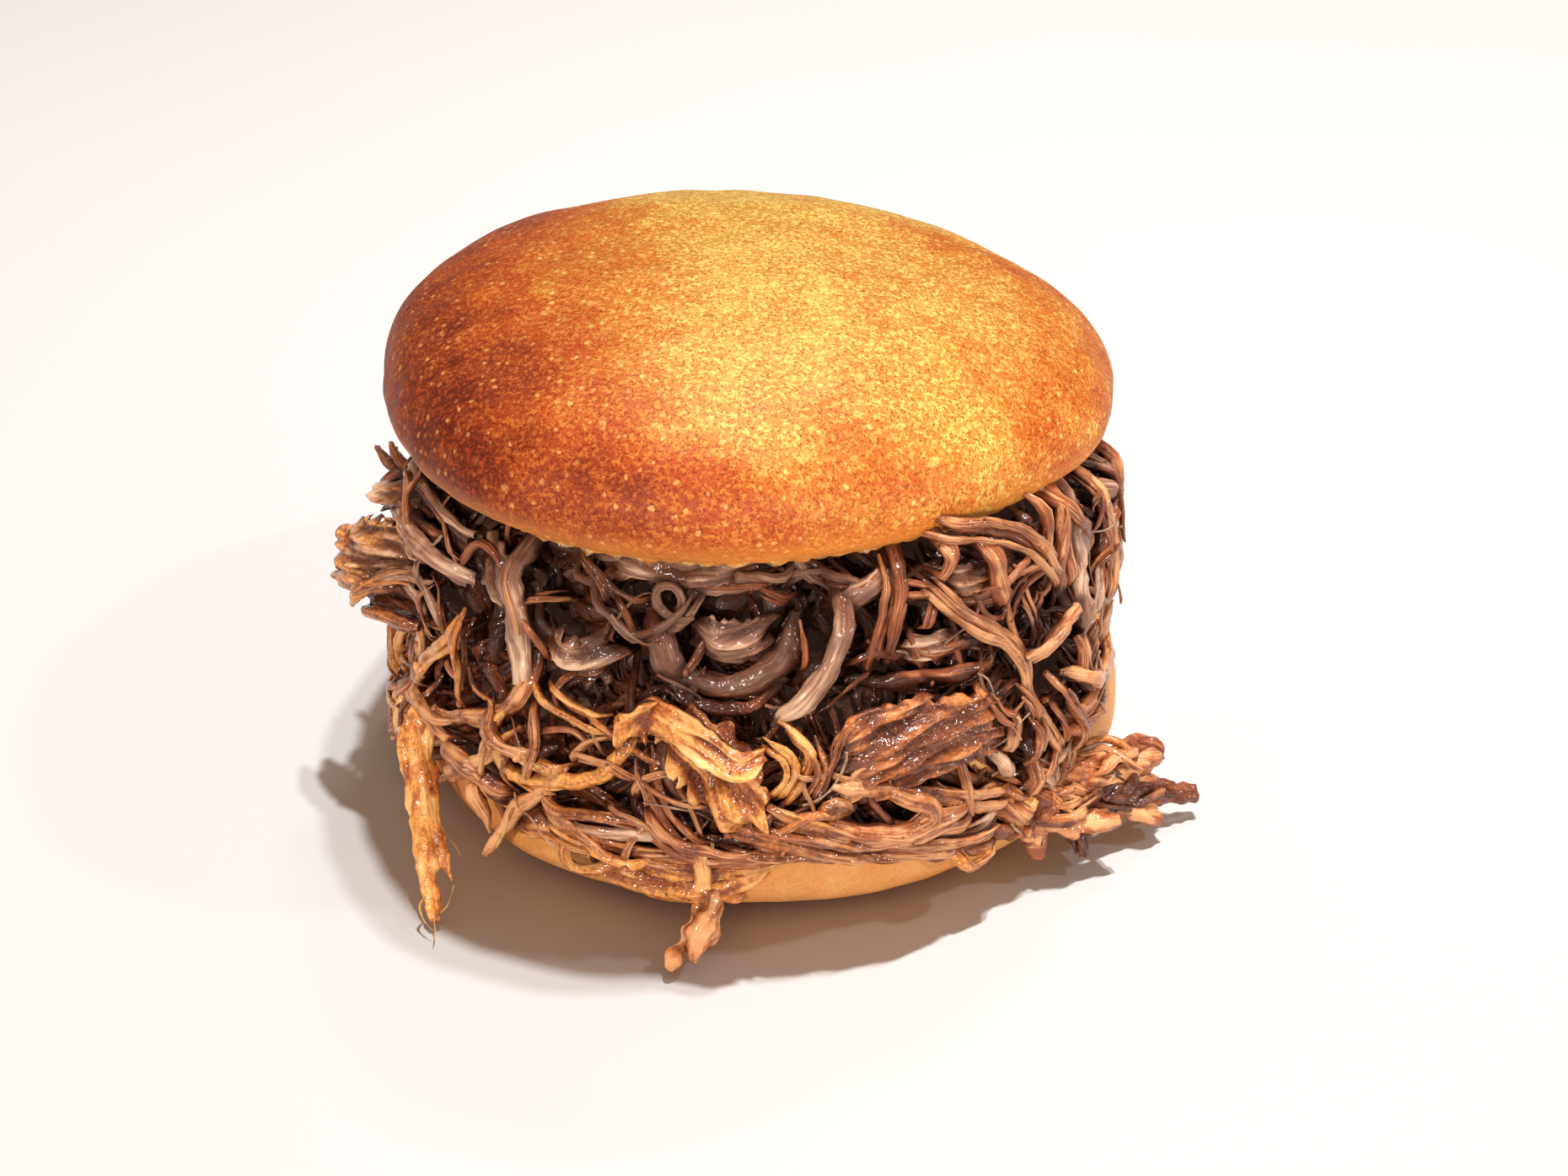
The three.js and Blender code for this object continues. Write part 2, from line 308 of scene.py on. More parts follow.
radial = top_points * [1, 1, 1.6]
radial /= np.linalg.norm(radial, axis=1, keepdims=True) + 1e-9
top_points += radial * (on_crust * (0.38 * dents(top_points) + 0.09 * dimples(top_points)))[:, None]
flat = top_points.copy()
top_points = top_points @ top_turn.T + TOP_CENTRE
top_mesh.vertices.foreach_set("co", (top_points * MM).ravel())


def blot(points, middle, reach):
    """1 at the middle (x, y) and fading out over the reach each way."""
    return np.exp(-(((points[:, :2] - middle) / reach) ** 2).sum(1))


# Baked colour mixed with painted light and shade: deepest on the left and low in front, partly painted shade
# on the side away from the light; palest yellow just behind the middle of the crest, partly a painted
# highlight where the light from above falls.
patches = Ripple(8, 22.0)
small_patches = Ripple(9, 7.0)
x, y, z = flat.T
brown = 0.35 + 0.52 * smooth(-x, 4, 46) * (1 - 0.6 * smooth(z, 18, 27))
brown -= 0.36 * blot(flat, (-1, 0), (16, math.inf)) * smooth(z, 14, 24)
brown += 0.30 * blot(flat, (-12, 0), (27, math.inf)) * smooth(-y, 8, 40) * smooth(z, 19, 11)
brown -= 0.27 * blot(flat, (26, -17), (16, 26))
brown -= 0.28 * smooth(y, 2, 34) * smooth(x, -30, -6)
brown += 0.10 * blot(flat, (-30, -34), (14, 14))
brown += 0.10 * smooth(x, 32, 54) + 0.05 * patches(flat) + 0.025 * small_patches(flat)
point_attribute(top_mesh, "browning", np.clip(brown, 0, 1))
point_attribute(top_mesh, "rim", 1 - smooth(flat[:, 2], 0.4, 7.5))


def arithmetic(tree, operation, a, b):
    return node(tree, "ShaderNodeMath", {0: a, 1: b}, operation=operation).outputs["Value"]


def plus(tree, first, *others):
    for other in others:
        first = arithmetic(tree, "ADD", first, other)
    return first


def times(tree, a, b):
    return arithmetic(tree, "MULTIPLY", a, b)


def spread(tree, value, low, high, to_low=0.0, to_high=1.0, kind="SMOOTHSTEP"):
    """The value taken from one range to another, by an S-shaped step or evenly (LINEAR)."""
    inputs = {"Value": value, "From Min": low, "From Max": high, "To Min": to_low, "To Max": to_high}
    return node(tree, "ShaderNodeMapRange", inputs, interpolation_type=kind).outputs["Result"]


def swing(tree, noise_value, low, high):
    """A noise's usual range, 0.3 to 0.7, taken to the given one."""
    return spread(tree, noise_value, 0.3, 0.7, low, high)


def attribute(tree, name, output="Fac"):
    return node(tree, "ShaderNodeAttribute", attribute_name=name).outputs[output]


def cells(tree, place, scale):
    return node(tree, "ShaderNodeTexVoronoi", {"Vector": place, "Scale": scale, "Randomness": 1.0}).outputs


def bump(tree, height, strength, distance, normal=None):
    inputs = {"Height": height, "Strength": strength, "Distance": distance}
    if normal is not None:
        inputs["Normal"] = normal
    return node(tree, "ShaderNodeBump", inputs).outputs["Normal"]


PIT_SHADE = (0.60, 0.39, 0.25, 1)
GRAIN_SHINE = (1.08, 1.05, 1.03, 1)


def crust_material(name, stops, pale_dots, rim_colour, speckle=1.0):
    """Baked crust: fine pale grains over a broad baked colour that carries painted light and shade, pale dots
    large and small, and a lighter rim.
    """
    made, tree, shader = new_material(name)
    place = object_place(tree)
    cloud = noise(tree, place, 170.0, 4.0, 0.6)
    grains = noise(tree, place, 1350.0, 3.0, 0.65)
    pits = noise(tree, place, 2600.0, 2.0, 0.6)
    tone = plus(tree, attribute(tree, "browning"), swing(tree, cloud, -0.10, 0.12))
    palest, deepest = stops[0][0], stops[-1][0]

    def baked(value):
        """The crust's colour at a tone between the first and last of the stops."""
        share = spread(tree, value, palest, deepest, kind="LINEAR")
        ramp = node(tree, "ShaderNodeValToRGB", {"Fac": share})
        elements = ramp.color_ramp.elements
        elements[0].position, elements[0].color = 0.0, stops[0][1]
        elements[1].position, elements[1].color = 1.0, stops[-1][1]
        for position, colour in stops[1:-1]:
            elements.new((position - palest) / (deepest - palest)).color = colour
        return ramp.outputs["Color"]

    def dots(scale, raggedness, size, chance, strength):
        """Dots with ragged edges in some of the cells of a pattern."""
        cell = cells(tree, place, scale)
        edge = plus(tree, cell["Distance"], swing(tree, grains, -raggedness, raggedness))
        chosen = node(tree, "ShaderNodeSeparateColor", {"Color": cell["Color"]}).outputs["Red"]
        return times(tree, spread(tree, edge, *size, 1.0, 0.0), spread(tree, chosen, *chance, 0.0, strength))

    speck = spread(tree, grains, 0.48, 0.62, 0.0, 0.8 * speckle)
    colour = colour_mix(tree, speck, baked(tone), baked(arithmetic(tree, "SUBTRACT", tone, 0.4)))
    shade = colour_mix(tree, spread(tree, pits, 0.35, 0.5), PIT_SHADE, GRAIN_SHINE)
    colour = colour_mix(tree, speckle, colour, colour_mix(tree, 1.0, colour, shade, "MULTIPLY"))
    large = dots(300.0, 0.1, (0.06, 0.2), (0.5, 0.9), 0.75)
    fine = dots(640.0, 0.16, (0.1, 0.3), (0.3, 0.8), 0.95 * speckle)
    lighter = colour_mix(tree, 0.45, baked(arithmetic(tree, "SUBTRACT", tone, 0.6)), pale_dots)
    colour = colour_mix(tree, arithmetic(tree, "MAXIMUM", large, fine), colour, lighter)
    rim = times(tree, attribute(tree, "rim"), spread(tree, cloud, 0.25, 0.7, 0.4, 0.8))
    relief = plus(tree, grains, times(tree, pits, 0.5))
    fill_inputs(tree, shader, {
        "Base Color": colour_mix(tree, rim, colour, rim_colour),
        "Roughness": swing(tree, grains, 0.44, 0.6),
        "Specular IOR Level": 0.2,
        "Normal": bump(tree, relief, 0.45, 0.00028),
    })
    return made


def crumb_material(name, pale, darker_crumb):
    """Cut crumb: pale, matt and full of small torn holes, which are darker as painted shade."""
    made, tree, shader = new_material(name)
    place = object_place(tree)
    holes = cells(tree, place, 420.0)["Distance"]
    pits = cells(tree, place, 1100.0)["Distance"]
    torn = noise(tree, place, 700.0, 5.0, 0.65)
    # Darker in the holes, as painted shade, and at random where the crumb is torn.
    tone = plus(tree, spread(tree, torn, 0.3, 0.72), spread(tree, holes, 0.15, 0.5, 0.25, -0.2))
    relief = plus(tree, times(tree, holes, 1.4), pits, times(tree, torn, 0.8))
    fill_inputs(tree, shader, {
        "Base Color": colour_mix(tree, tone, pale, darker_crumb),
        "Roughness": 0.85,
        "Specular IOR Level": 0.2,
        "Subsurface Weight": 0.15,
        "Subsurface Radius": (1.0, 0.7, 0.45),
        "Subsurface Scale": 0.002,
        "Normal": bump(tree, relief, 0.9, 0.0007),
    })
    return made


top_crust = crust_material(
    "top_crust",
    stops=(
        (-0.3, (0.70, 0.58, 0.145, 1)),
        (0.0, (0.53, 0.255, 0.043, 1)),
        (0.3, (0.48, 0.145, 0.019, 1)),
        (0.58, (0.37, 0.058, 0.008, 1)),
        (1.0, (0.12, 0.016, 0.005, 1)),
    ),
    pale_dots=(0.74, 0.38, 0.13, 1),
    rim_colour=(0.74, 0.27, 0.05, 1),
)
crumb = crumb_material("roll_crumb", (0.66, 0.36, 0.13, 1), (0.48, 0.20, 0.06, 1))
piece("roll_top", top_mesh, [top_crust, crumb], "crust_top", "bun_top")
crumb_faces = np.zeros(len(top_mesh.polygons), dtype=np.int32)
crumb_faces[: (TOP_CRUMB_RINGS + 1) * TOP_SECTORS] = 1
crumb_faces[(len(top_rings) - 1) * TOP_SECTORS :: 2] = 1
top_mesh.polygons.foreach_set("material_index", crumb_faces)

# ---- Bottom half of the roll ----
# The same roll's foot: a flat base from the baking tray, a rounded side, and a cut face pressed hollow
# by the heap. Its crust is lighter than the top's, and juice has soaked the rim.
BOTTOM_GIRTH_RADIUS = 57.7
BOTTOM_FOOT_RADIUS = 41.0
BOTTOM_CUT_RADIUS = 56.2
BOTTOM_GIRTH_HEIGHT = 9.0
BOTTOM_RIM_HEIGHT = 16.0
BOTTOM_DISH = 3.0
BOTTOM_SECTORS = 400
BOTTOM_BASE_RINGS = 14
BOTTOM_FOOT_RINGS = 26
BOTTOM_SIDE_RINGS = 14
BOTTOM_DISH_RINGS = 34
angles = np.linspace(0, 2 * math.pi, BOTTOM_SECTORS, endpoint=False)
ways = np.stack([np.cos(angles), np.sin(angles)], -1)
bottom_outline = (
    1 + 0.008 * np.cos(2 * (angles - math.radians(40))) + 0.007 * np.cos(3 * (angles - math.radians(75)))
)


def bottom_ring(radius, height):
    return level_ring(ways, radius * bottom_outline, height)


bottom_rings = [
    bottom_ring(BOTTOM_FOOT_RADIUS * share, 0.0) for share in np.linspace(0.02, 1.0, BOTTOM_BASE_RINGS)
]
for share in np.linspace(0, 1, BOTTOM_FOOT_RINGS)[1:]:
    turn = share * math.pi / 2
    radius = BOTTOM_FOOT_RADIUS + (BOTTOM_GIRTH_RADIUS - BOTTOM_FOOT_RADIUS) * math.sin(turn)
    bottom_rings.append(bottom_ring(radius, BOTTOM_GIRTH_HEIGHT * (1 - math.cos(turn))))
for rise in np.linspace(0, 1, BOTTOM_SIDE_RINGS)[1:]:
    radius = BOTTOM_GIRTH_RADIUS - (BOTTOM_GIRTH_RADIUS - BOTTOM_CUT_RADIUS) * rise * rise
    level = BOTTOM_GIRTH_HEIGHT + (BOTTOM_RIM_HEIGHT - BOTTOM_GIRTH_HEIGHT) * rise
    ring = bottom_ring(radius, level)
    ring[:, 2] += smooth(rise, 0.6, 1.0) * (0.3 * edge_lumps(ring) + 0.25 * saw_marks(ring))
    bottom_rings.append(ring)
side_ring_count = len(bottom_rings)
for share in np.linspace(1, 0.02, BOTTOM_DISH_RINGS)[1:]:
    ring = bottom_ring(BOTTOM_CUT_RADIUS * share, BOTTOM_RIM_HEIGHT - BOTTOM_DISH * (1 - share**2))
    ring[:, 2] += 0.2 * saw_marks(ring) + 0.3 * crumb_lumps(ring) - 0.2
    bottom_rings.append(ring)
bottom_mesh, bottom_points = closed_rings("roll_bottom", bottom_rings)
level = bottom_points[:, 2]
off_floor = smooth(level, 0.5, 4.0)
radial = bottom_points * [1, 1, 0]
radial /= np.linalg.norm(radial, axis=1, keepdims=True) + 1e-9
bottom_points += radial * (off_floor * (0.4 * dents(bottom_points) + 0.1 * dimples(bottom_points)))[:, None]
bottom_mesh.vertices.foreach_set("co", (bottom_points * MM).ravel())
brown = 0.30 + 0.1 * patches(bottom_points) + 0.3 * (1 - smooth(level, 0.0, 6.0))
# Paler towards the right: partly painted light, on a side that lies in shade.
brown -= 0.003 * bottom_points[:, 0] + 0.3 * smooth(bottom_points[:, 0], 34, 52)
point_attribute(bottom_mesh, "browning", np.clip(brown, 0, 1))
point_attribute(bottom_mesh, "rim", 0.8 * smooth(level, 8.0, 15.0))
bottom_crust = crust_material(
    "bottom_crust",
    stops=(
        (-0.3, (0.86, 0.54, 0.24, 1)),
        (0.0, (0.84, 0.43, 0.15, 1)),
        (0.35, (0.76, 0.31, 0.085, 1)),
        (0.7, (0.50, 0.14, 0.03, 1)),
        (1.0, (0.25, 0.06, 0.015, 1)),
    ),
    pale_dots=(0.72, 0.38, 0.13, 1),
    rim_colour=(0.70, 0.27, 0.07, 1),
    speckle=0.3,
)
soaked_crumb = crumb_material("soaked_crumb", (0.34, 0.14, 0.05, 1), (0.16, 0.055, 0.02, 1))
piece("roll_bottom", bottom_mesh, [bottom_crust, soaked_crumb], "crust_bottom", "bun_bottom")
crumb_faces = np.zeros(len(bottom_mesh.polygons), dtype=np.int32)
crumb_faces[(side_ring_count + 1) * BOTTOM_SECTORS : (len(bottom_rings) - 1) * BOTTOM_SECTORS] = 1
crumb_faces[(len(bottom_rings) - 1) * BOTTOM_SECTORS + 1 :: 2] = 1
bottom_mesh.polygons.foreach_set("material_index", crumb_faces)

# ---- Core of the heap ----
# The imported middle of the heap, seen only deep between the shreds. Its dark colour is painted shade:
# meat much darker than the strands, for the shade deep in the gaps. Its side follows the heap's outline
# about a finger's width further in, and flares to lie on the rim of the bottom half.
HEAP_AXIS_X = -1.8
HEAP_WALL = ([4, 12, 20, 30, 42, 60], [60, 60.2, 58.6, 57.2, 56, 53])
CORE_DEPTH = 12.0
CORE_FOOT_DEPTH = 4.5
CORE_FOOT_LEVEL = 16.3
CORE_SECTORS = 300
CORE_RINGS = 56
# Painted shade: the core's colours are far darker than the strands'.
CORE_SHADE_DARK = (0.07, 0.034, 0.024, 1)
CORE_SHADE_PALE = (0.22, 0.10, 0.062, 1)


def bearing_window(bearing, middle, half_angle):
    off = (bearing - middle + 180.0) % 360.0 - 180.0
    return np.exp(-((off / half_angle) ** 2))


def heap_wall(bearing, level):
    """Radius of the heap's outer side. Bearing is in degrees from the front, positive to the right."""
    bearing, level = np.asarray(bearing, float), np.asarray(level, float)
    hollow = 4.0 * bearing_window(bearing, -4, 52) * smooth(level, 30, 42)
    tuck = 3.4 * bearing_window(bearing, 88, 34) * (1 - smooth(level, 18, 30))
    sag = 1.8 * bearing_window(bearing, -66, 30) * (1 - smooth(level, 8, 30))
    tuft = 4.0 * bearing_window(bearing, -72, 11) * np.exp(-(((level - 37) / 7) ** 2))
    return np.interp(level, *HEAP_WALL) + sag + tuft - hollow - tuck


def heap_point(bearing, level, radius):
    b = np.radians(bearing)
    return np.stack([HEAP_AXIS_X + radius * np.sin(b), -radius * np.cos(b), level + 0 * b], -1)


def cut_face_level(x, y):
    """Height of the top half's cut face above a place on the table."""
    normal = top_turn[:, 2]
    return TOP_CENTRE[2] - (normal[0] * (x - TOP_CENTRE[0]) + normal[1] * (y - TOP_CENTRE[1])) / normal[2]


def core_radius(bearing, level):
    depth = CORE_FOOT_DEPTH + (CORE_DEPTH - CORE_FOOT_DEPTH) * smooth(np.asarray(level, float), 16, 29)
    return heap_wall(bearing, level) - depth


core_lumps = Ripple(11, 11.0)
core_fibres = Ripple(12, 3.2)
bearings = np.linspace(-180, 180, CORE_SECTORS, endpoint=False)
core_rings = []
for share in (0.05, 0.4, 0.75):
    level = BOTTOM_RIM_HEIGHT - BOTTOM_DISH * (1 - share**2) + 0.5
    core_rings.append(heap_point(bearings, level, share * 52.0))
for rise in np.linspace(0, 1, CORE_RINGS):
    rough = heap_point(bearings, 0.0, 43.0)
    roof = cut_face_level(rough[:, 0], rough[:, 1]) - 0.8
    level = CORE_FOOT_LEVEL + (roof - CORE_FOOT_LEVEL) * rise
    radius = core_radius(bearings, level)
    ring = heap_point(bearings, level, radius)
    lumps = 1.2 * core_lumps(ring) + 0.7 * core_fibres(ring * [1, 1, 2.2])
    core_rings.append(heap_point(bearings, level, radius + lumps * min(1.0, 3 * rise, 0.3 + 3 * (1 - rise))))
for share in (0.8, 0.5, 0.2, 0.04):
    ring = heap_point(bearings, 0.0, share * 42.0)
    ring[:, 2] = cut_face_level(ring[:, 0], ring[:, 1]) - 0.7
    core_rings.append(ring)
core_mesh, _ = closed_rings("pork_core", core_rings)
core_meat, tree, shader = new_material("packed_meat")
place = object_place(tree)
stretched = node(tree, "ShaderNodeMapping", {"Vector": place, "Scale": (1, 1, 3.5)}).outputs[0]
fibres = noise(tree, stretched, 420.0, 4.0, 0.6)
packed = colour_mix(tree, spread(tree, fibres, 0.35, 0.7), CORE_SHADE_DARK, CORE_SHADE_PALE)
# A faint painted glow, where no lamp is, keeps the gaps brown, not black.
PAINTED_GLOW = {"Emission Color": (0.016, 0.008, 0.0062, 1), "Emission Strength": 1.0}
fill_inputs(tree, shader, {
    "Base Color": packed,
    "Roughness": 0.75,
    "Specular IOR Level": 0.15,
    "Normal": bump(tree, fibres, 0.9, 0.0012),
    **PAINTED_GLOW,
})
piece("pork_core", core_mesh, [core_meat], "pork", "pork_heap")

# ---- Shreds of pork ----
# Slow-cooked shoulder pulled apart along its grain: soft, twisted strands, pale inside and browned
# outside, wet with thin sauce. Each is laid over those already there and dives in at its ends.
# What is already laid is kept as a field: the radius of the outermost meat in each cell, by bearing
# and height.
CELL = 0.8
FIELD_RADIUS = 58.0
FIELD_COLUMNS = int(round(2 * math.pi * FIELD_RADIUS / CELL))
FIELD_BOTTOM = -2.0
FIELD_ROWS = int(68 / CELL)
FOOT_OF_CORE = 15.8


def roll_side(bearing, level):
    """Radius of the bottom half's side about the heap's axis."""
    level = np.asarray(level, float)
    lower = np.clip(1 - level / BOTTOM_GIRTH_HEIGHT, 0, 1)
    radius = np.where(
        level < BOTTOM_GIRTH_HEIGHT,
        BOTTOM_FOOT_RADIUS + (BOTTOM_GIRTH_RADIUS - BOTTOM_FOOT_RADIUS) * np.sqrt(1 - lower**2),
        BOTTOM_GIRTH_RADIUS - 1.5 * np.clip((level - 9) / 7, 0, 1) ** 2,
    )
    return radius - HEAP_AXIS_X * np.sin(np.radians(bearing))


bearing_grid, level_grid = np.meshgrid(
    (np.arange(FIELD_COLUMNS) + 0.5) * 360.0 / FIELD_COLUMNS - 180.0,
    FIELD_BOTTOM + (np.arange(FIELD_ROWS) + 0.5) * CELL,
    indexing="ij",
)
surface = np.where(
    level_grid < FOOT_OF_CORE,
    roll_side(bearing_grid, np.maximum(level_grid, 0)),
    core_radius(bearing_grid, level_grid),
)

# Everything random about the meat is drawn from this one sequence, in the order in which it is laid.
draw = np.random.default_rng(20)
# Where the heap is open: bearing, height, half-width and half-height (mm), and how deep it goes (mm).
front_hollows = np.array([
    (-41, 36, 6.0, 5.0, 10.0),
    (-29, 48, 3.5, 3.0, 6.0),
    (-20, 41, 8.0, 3.6, 9.0),
    (4, 49, 5.0, 3.5, 8.0),
    (11, 50, 4.0, 4.0, 7.0),
    (1, 36.5, 5.0, 2.5, 7.0),
    (12, 43, 5.0, 3.5, 6.0),
    (20, 38, 9.0, 2.2, 8.0),
    (-60, 31, 5.0, 3.0, 5.0),
    (-24, 24.5, 5.0, 1.8, 5.0),
    (50, 30, 4.0, 5.0, 5.0),
    (62, 43, 3.0, 6.0, 5.0),
])
BACK_HOLLOW_RANGES = ((-5, 5), (24, 50), (3, 8), (2.2, 4.5), (5, 8))
back_hollows = [
    np.array([draw.uniform(*limits) for limits in BACK_HOLLOW_RANGES]) + (middle, 0, 0, 0, 0)
    for middle in np.arange(78, 290, 15)
]
knobs = Ripple(14, 15.0)


def relief(bearing, level):
    """How far the tangle stands out of the heap's side, less its open places."""
    bearing, level = np.atleast_1d(bearing), np.atleast_1d(level)
    out = -1.0 + 1.5 * knobs(heap_point(bearing, level, 50.0))
    for b, z, half_width, half_height, deep in (*front_hollows, *back_hollows):
        across = ((bearing - b + 180) % 360 - 180) * math.pi / 180 * FIELD_RADIUS / half_width
        out = out - deep * np.exp(-(across**2) - ((level - z) / half_height) ** 2)
    return out


def cell_of(bearing, level):
    i = np.floor((np.asarray(bearing) + 180.0) / 360.0 * FIELD_COLUMNS).astype(int) % FIELD_COLUMNS
    j = np.clip(((np.asarray(level) - FIELD_BOTTOM) / CELL).astype(int), 0, FIELD_ROWS - 1)
    return i, j


def gauss(values, steps):
    """Values smoothed along a line, with the ends held."""
    reach = max(1, int(3 * steps))
    kernel = np.exp(-0.5 * (np.arange(-reach, reach + 1) / steps) ** 2)
    kernel /= kernel.sum()
    return np.convolve(np.pad(values, reach, mode="edge"), kernel, mode="valid")


def sway(count, steps):
    """Smooth random values between -1 and 1."""
    values = gauss(draw.normal(0, 1, count), steps)
    return values / (np.abs(values).max() + 1e-6)


def through(controls, step):
    """A smooth, evenly stepped line through the given points, and the length run at each."""
    points = np.array(controls, float)
    ahead = np.concatenate([[2 * points[0] - points[1]], points, [2 * points[-1] - points[-2]]])
    t = np.linspace(0, 1, 24, endpoint=False)[:, None]
    out = []
    for a, b, c, d in zip(ahead[:-3], ahead[1:-2], ahead[2:-1], ahead[3:]):
        square, cube = 2 * a - 5 * b + 4 * c - d, 3 * b - a - 3 * c + d
        out.append(0.5 * (2 * b + (c - a) * t + square * t**2 + cube * t**3))
    line = np.concatenate(out + [points[-1:]])
    length = np.concatenate([[0], np.cumsum(np.linalg.norm(np.diff(line, axis=0), axis=1))])
    even = np.linspace(0, length[-1], max(6, int(length[-1] / step) + 1))
    return np.stack([np.interp(even, length, values) for values in line.T], -1), even


def on_side(controls, step):
    """The same, through (bearing, height) points on the heap's side."""
    flat = [(math.radians(b) * FIELD_RADIUS, z) for b, z in controls]
    line, run = through(flat, step)
    return np.stack([np.degrees(line[:, 0]) / FIELD_RADIUS, line[:, 1]], -1), run


def lay(path, run, width, thickness, ends, stiff, proud, low=None, bob=0.0, open_places=True):
    """Drapes a strand over what lies there: its radius at each point, held up where it bridges a gap."""
    bearing, level = path[:, 0], path[:, 1]
    way = np.gradient(np.stack([np.radians(bearing) * FIELD_RADIUS, level], -1), axis=0)
    way /= np.linalg.norm(way, axis=1, keepdims=True) + 1e-9
    side = np.stack([-way[:, 1], way[:, 0]], -1)

    def cells_beside(share):
        """The cells under a line that runs beside the strand's middle, by a share of its width."""
        b = bearing + np.degrees(side[:, 0] * share * width / FIELD_RADIUS)
        return cell_of(b, level + side[:, 1] * share * width)

    under = np.zeros(len(path))
    for share in (-0.38, -0.15, 0.15, 0.38):
        under = np.maximum(under, surface[cells_beside(share)])
    step = max(run[1] - run[0], 1e-3)
    under = gauss(under, 1.2 / step)
    wall = heap_wall(bearing, level)
    radius = under + 0.32 * thickness
    if low is not None:
        radius = np.maximum(radius, wall + low)
    for _ in range(4):
        radius = np.maximum(under + 0.2 * thickness, gauss(radius, stiff / step))
    radius = gauss(radius, 1.6 / step)
    limit = wall + proud + (relief(bearing, level) if open_places else 0.0)
    on_roll = 1 - smooth(level, 13.0, 19.0)
    rind = roll_side(bearing, np.maximum(level, 5.0)) + 0.45 * thickness
    limit = np.maximum(limit, on_roll * rind)
    radius = gauss(np.minimum(radius, limit), 1.2 / step)
    if bob:
        radius -= bob * (0.5 + 0.5 * sway(len(path), 3.2 / step)) * (1 - 0.8 * on_roll)
    total = run[-1]
    reach = min(7.0, total * 0.3)
    radius -= ends[0] * (1 - smooth(run, 0, reach)) + ends[1] * (1 - smooth(total - run, 0, reach))
    for share in np.linspace(-0.5, 0.5, max(3, int(width / CELL) + 2)):
        crown = 0.5 * thickness * math.sqrt(max(0.0, 1 - 3.2 * share * share))
        np.maximum.at(surface, cells_beside(share), radius + crown)
    return radius


Fibre = namedtuple("Fibre", "line widths facing tone glaze pick")
shreds = {}


def bearing_of(points):
    return np.degrees(np.arctan2(points[:, 0] - HEAP_AXIS_X, -points[:, 1]))


def fibre(kind, points, widths, facing, tone, glaze):
    """Notes one fibre of a kind: its line in mm, its width, the way its flat side faces, and its colour."""
    bearing = bearing_of(points)
    depth = heap_wall(bearing, points[:, 2]) - np.hypot(points[:, 0] - HEAP_AXIS_X, points[:, 1])
    # Painted shade: a darker tone deep below the heap's side (sunk) and high under the roll (shaded), most of
    # all at the front.
    high = smooth(points[:, 2], 33, 45)
    sunk = smooth(depth, 2.5, 9)
    shaded = 0.28 + 0.36 * bearing_window(bearing.mean(), -6, 34)
    tone = np.clip(tone + 0.4 * sunk + shaded * high, 0, 1)
    glaze = np.clip(glaze * (1 - 0.65 * high) * (1 - 0.5 * sunk), 0, 1)
    shreds.setdefault(kind, []).append(Fibre(points, widths, facing, tone, glaze, draw.uniform(0, 1)))


def bundle(kind, middle, out, run, width, strands, flatness, tone, glaze, twist, fray=0.5, blunt=0.5,
           rough=0.16):
    """Splits a strand along its middle line into fibres, which twist round it and part at its ends."""
    along = np.gradient(middle, axis=0)
    along /= np.linalg.norm(along, axis=1, keepdims=True) + 1e-9
    across = np.cross(along, out)
    across /= np.linalg.norm(across, axis=1, keepdims=True) + 1e-9
    out = np.cross(across, along)
    total = run[-1]
    count = len(middle)
    step = max(run[1] - run[0], 1e-3)
    phase = draw.uniform(-0.35, 0.35)
    pitch = width / strands
    for k in range(strands):
        offset = (k - (strands - 1) / 2) * pitch * 0.92
        lift = draw.normal(0, 0.3) * pitch if strands > 1 else 0.0
        apart = 1 + fray * (2 - smooth(run, 0, 8) - smooth(total - run, 0, 8))
        turn = twist * (run - total / 2) + phase
        girth = width if strands == 1 else 1.6 * pitch
        a = offset * apart + rough * girth * (sway(count, 3.6 / step) + 0.4 * sway(count, 1.3 / step))
        if strands > 1:
            a = a + 0.45 * pitch * sway(count, 7.0 / step)
        c = lift * apart + rough * girth * (sway(count, 3.0 / step) + 0.4 * sway(count, 1.3 / step))
        place = middle + across * (a * np.cos(turn) - c * np.sin(turn))[:, None]
        place += out * ((a * np.sin(turn)) * (0.5 + 0.5 * flatness) + c * np.cos(turn))[:, None]
        own_turn = turn + (draw.normal(0, 0.5) if strands > 1 else 0.0)
        facing = out * np.cos(own_turn)[:, None] - across * np.sin(own_turn)[:, None]
        one = width if strands == 1 else pitch * draw.uniform(0.95, 1.5)
        widths = one * (1 + 0.24 * sway(count, 2.6 / step) + 0.12 * sway(count, 6.0 / step))
        start, stop = 0.0, total
        if strands > 1:
            start = draw.uniform(0, min(5.0, 0.16 * total))
            stop = total - draw.uniform(0, min(5.0, 0.16 * total))
        keep = (run >= start) & (run <= stop)
        if keep.sum() < 6:
            continue
        s = run[keep] - run[keep][0]
        tip = np.clip(blunt + draw.uniform(-0.3, 0.3), 0.15, 0.9)
        taper = tip + (1 - tip) * np.minimum(smooth(s, 0, 2.5), smooth(s[-1] - s, 0, draw.uniform(2, 6)))
        own_tone = (tone if np.ndim(tone) == 0 else tone[keep]) + draw.normal(0, 0.07)
        fibre(kind, place[keep], widths[keep] * taper, facing[keep], own_tone, glaze + draw.normal(0, 0.1))


def outward(path):
    b = np.radians(path[:, 0])
    return np.stack([np.sin(b), -np.cos(b), 0 * b], -1)


# The heap's foot lies on the rim, drapes over it here and there, and stands a little clear in two places.
FOOT_LEVEL = 16.6
DRAPES = (
    # bearing of the middle, half-width in degrees, and the height that it hangs down to
    (-68, 20, 3.5),
    (-16, 14, 8.5),
    (30, 12, 10.0),
    (46, 7, 6.0),
    (152, 20, 9.5),
    (-120, 10, 12.0),
    (105, 8, 12.5),
)


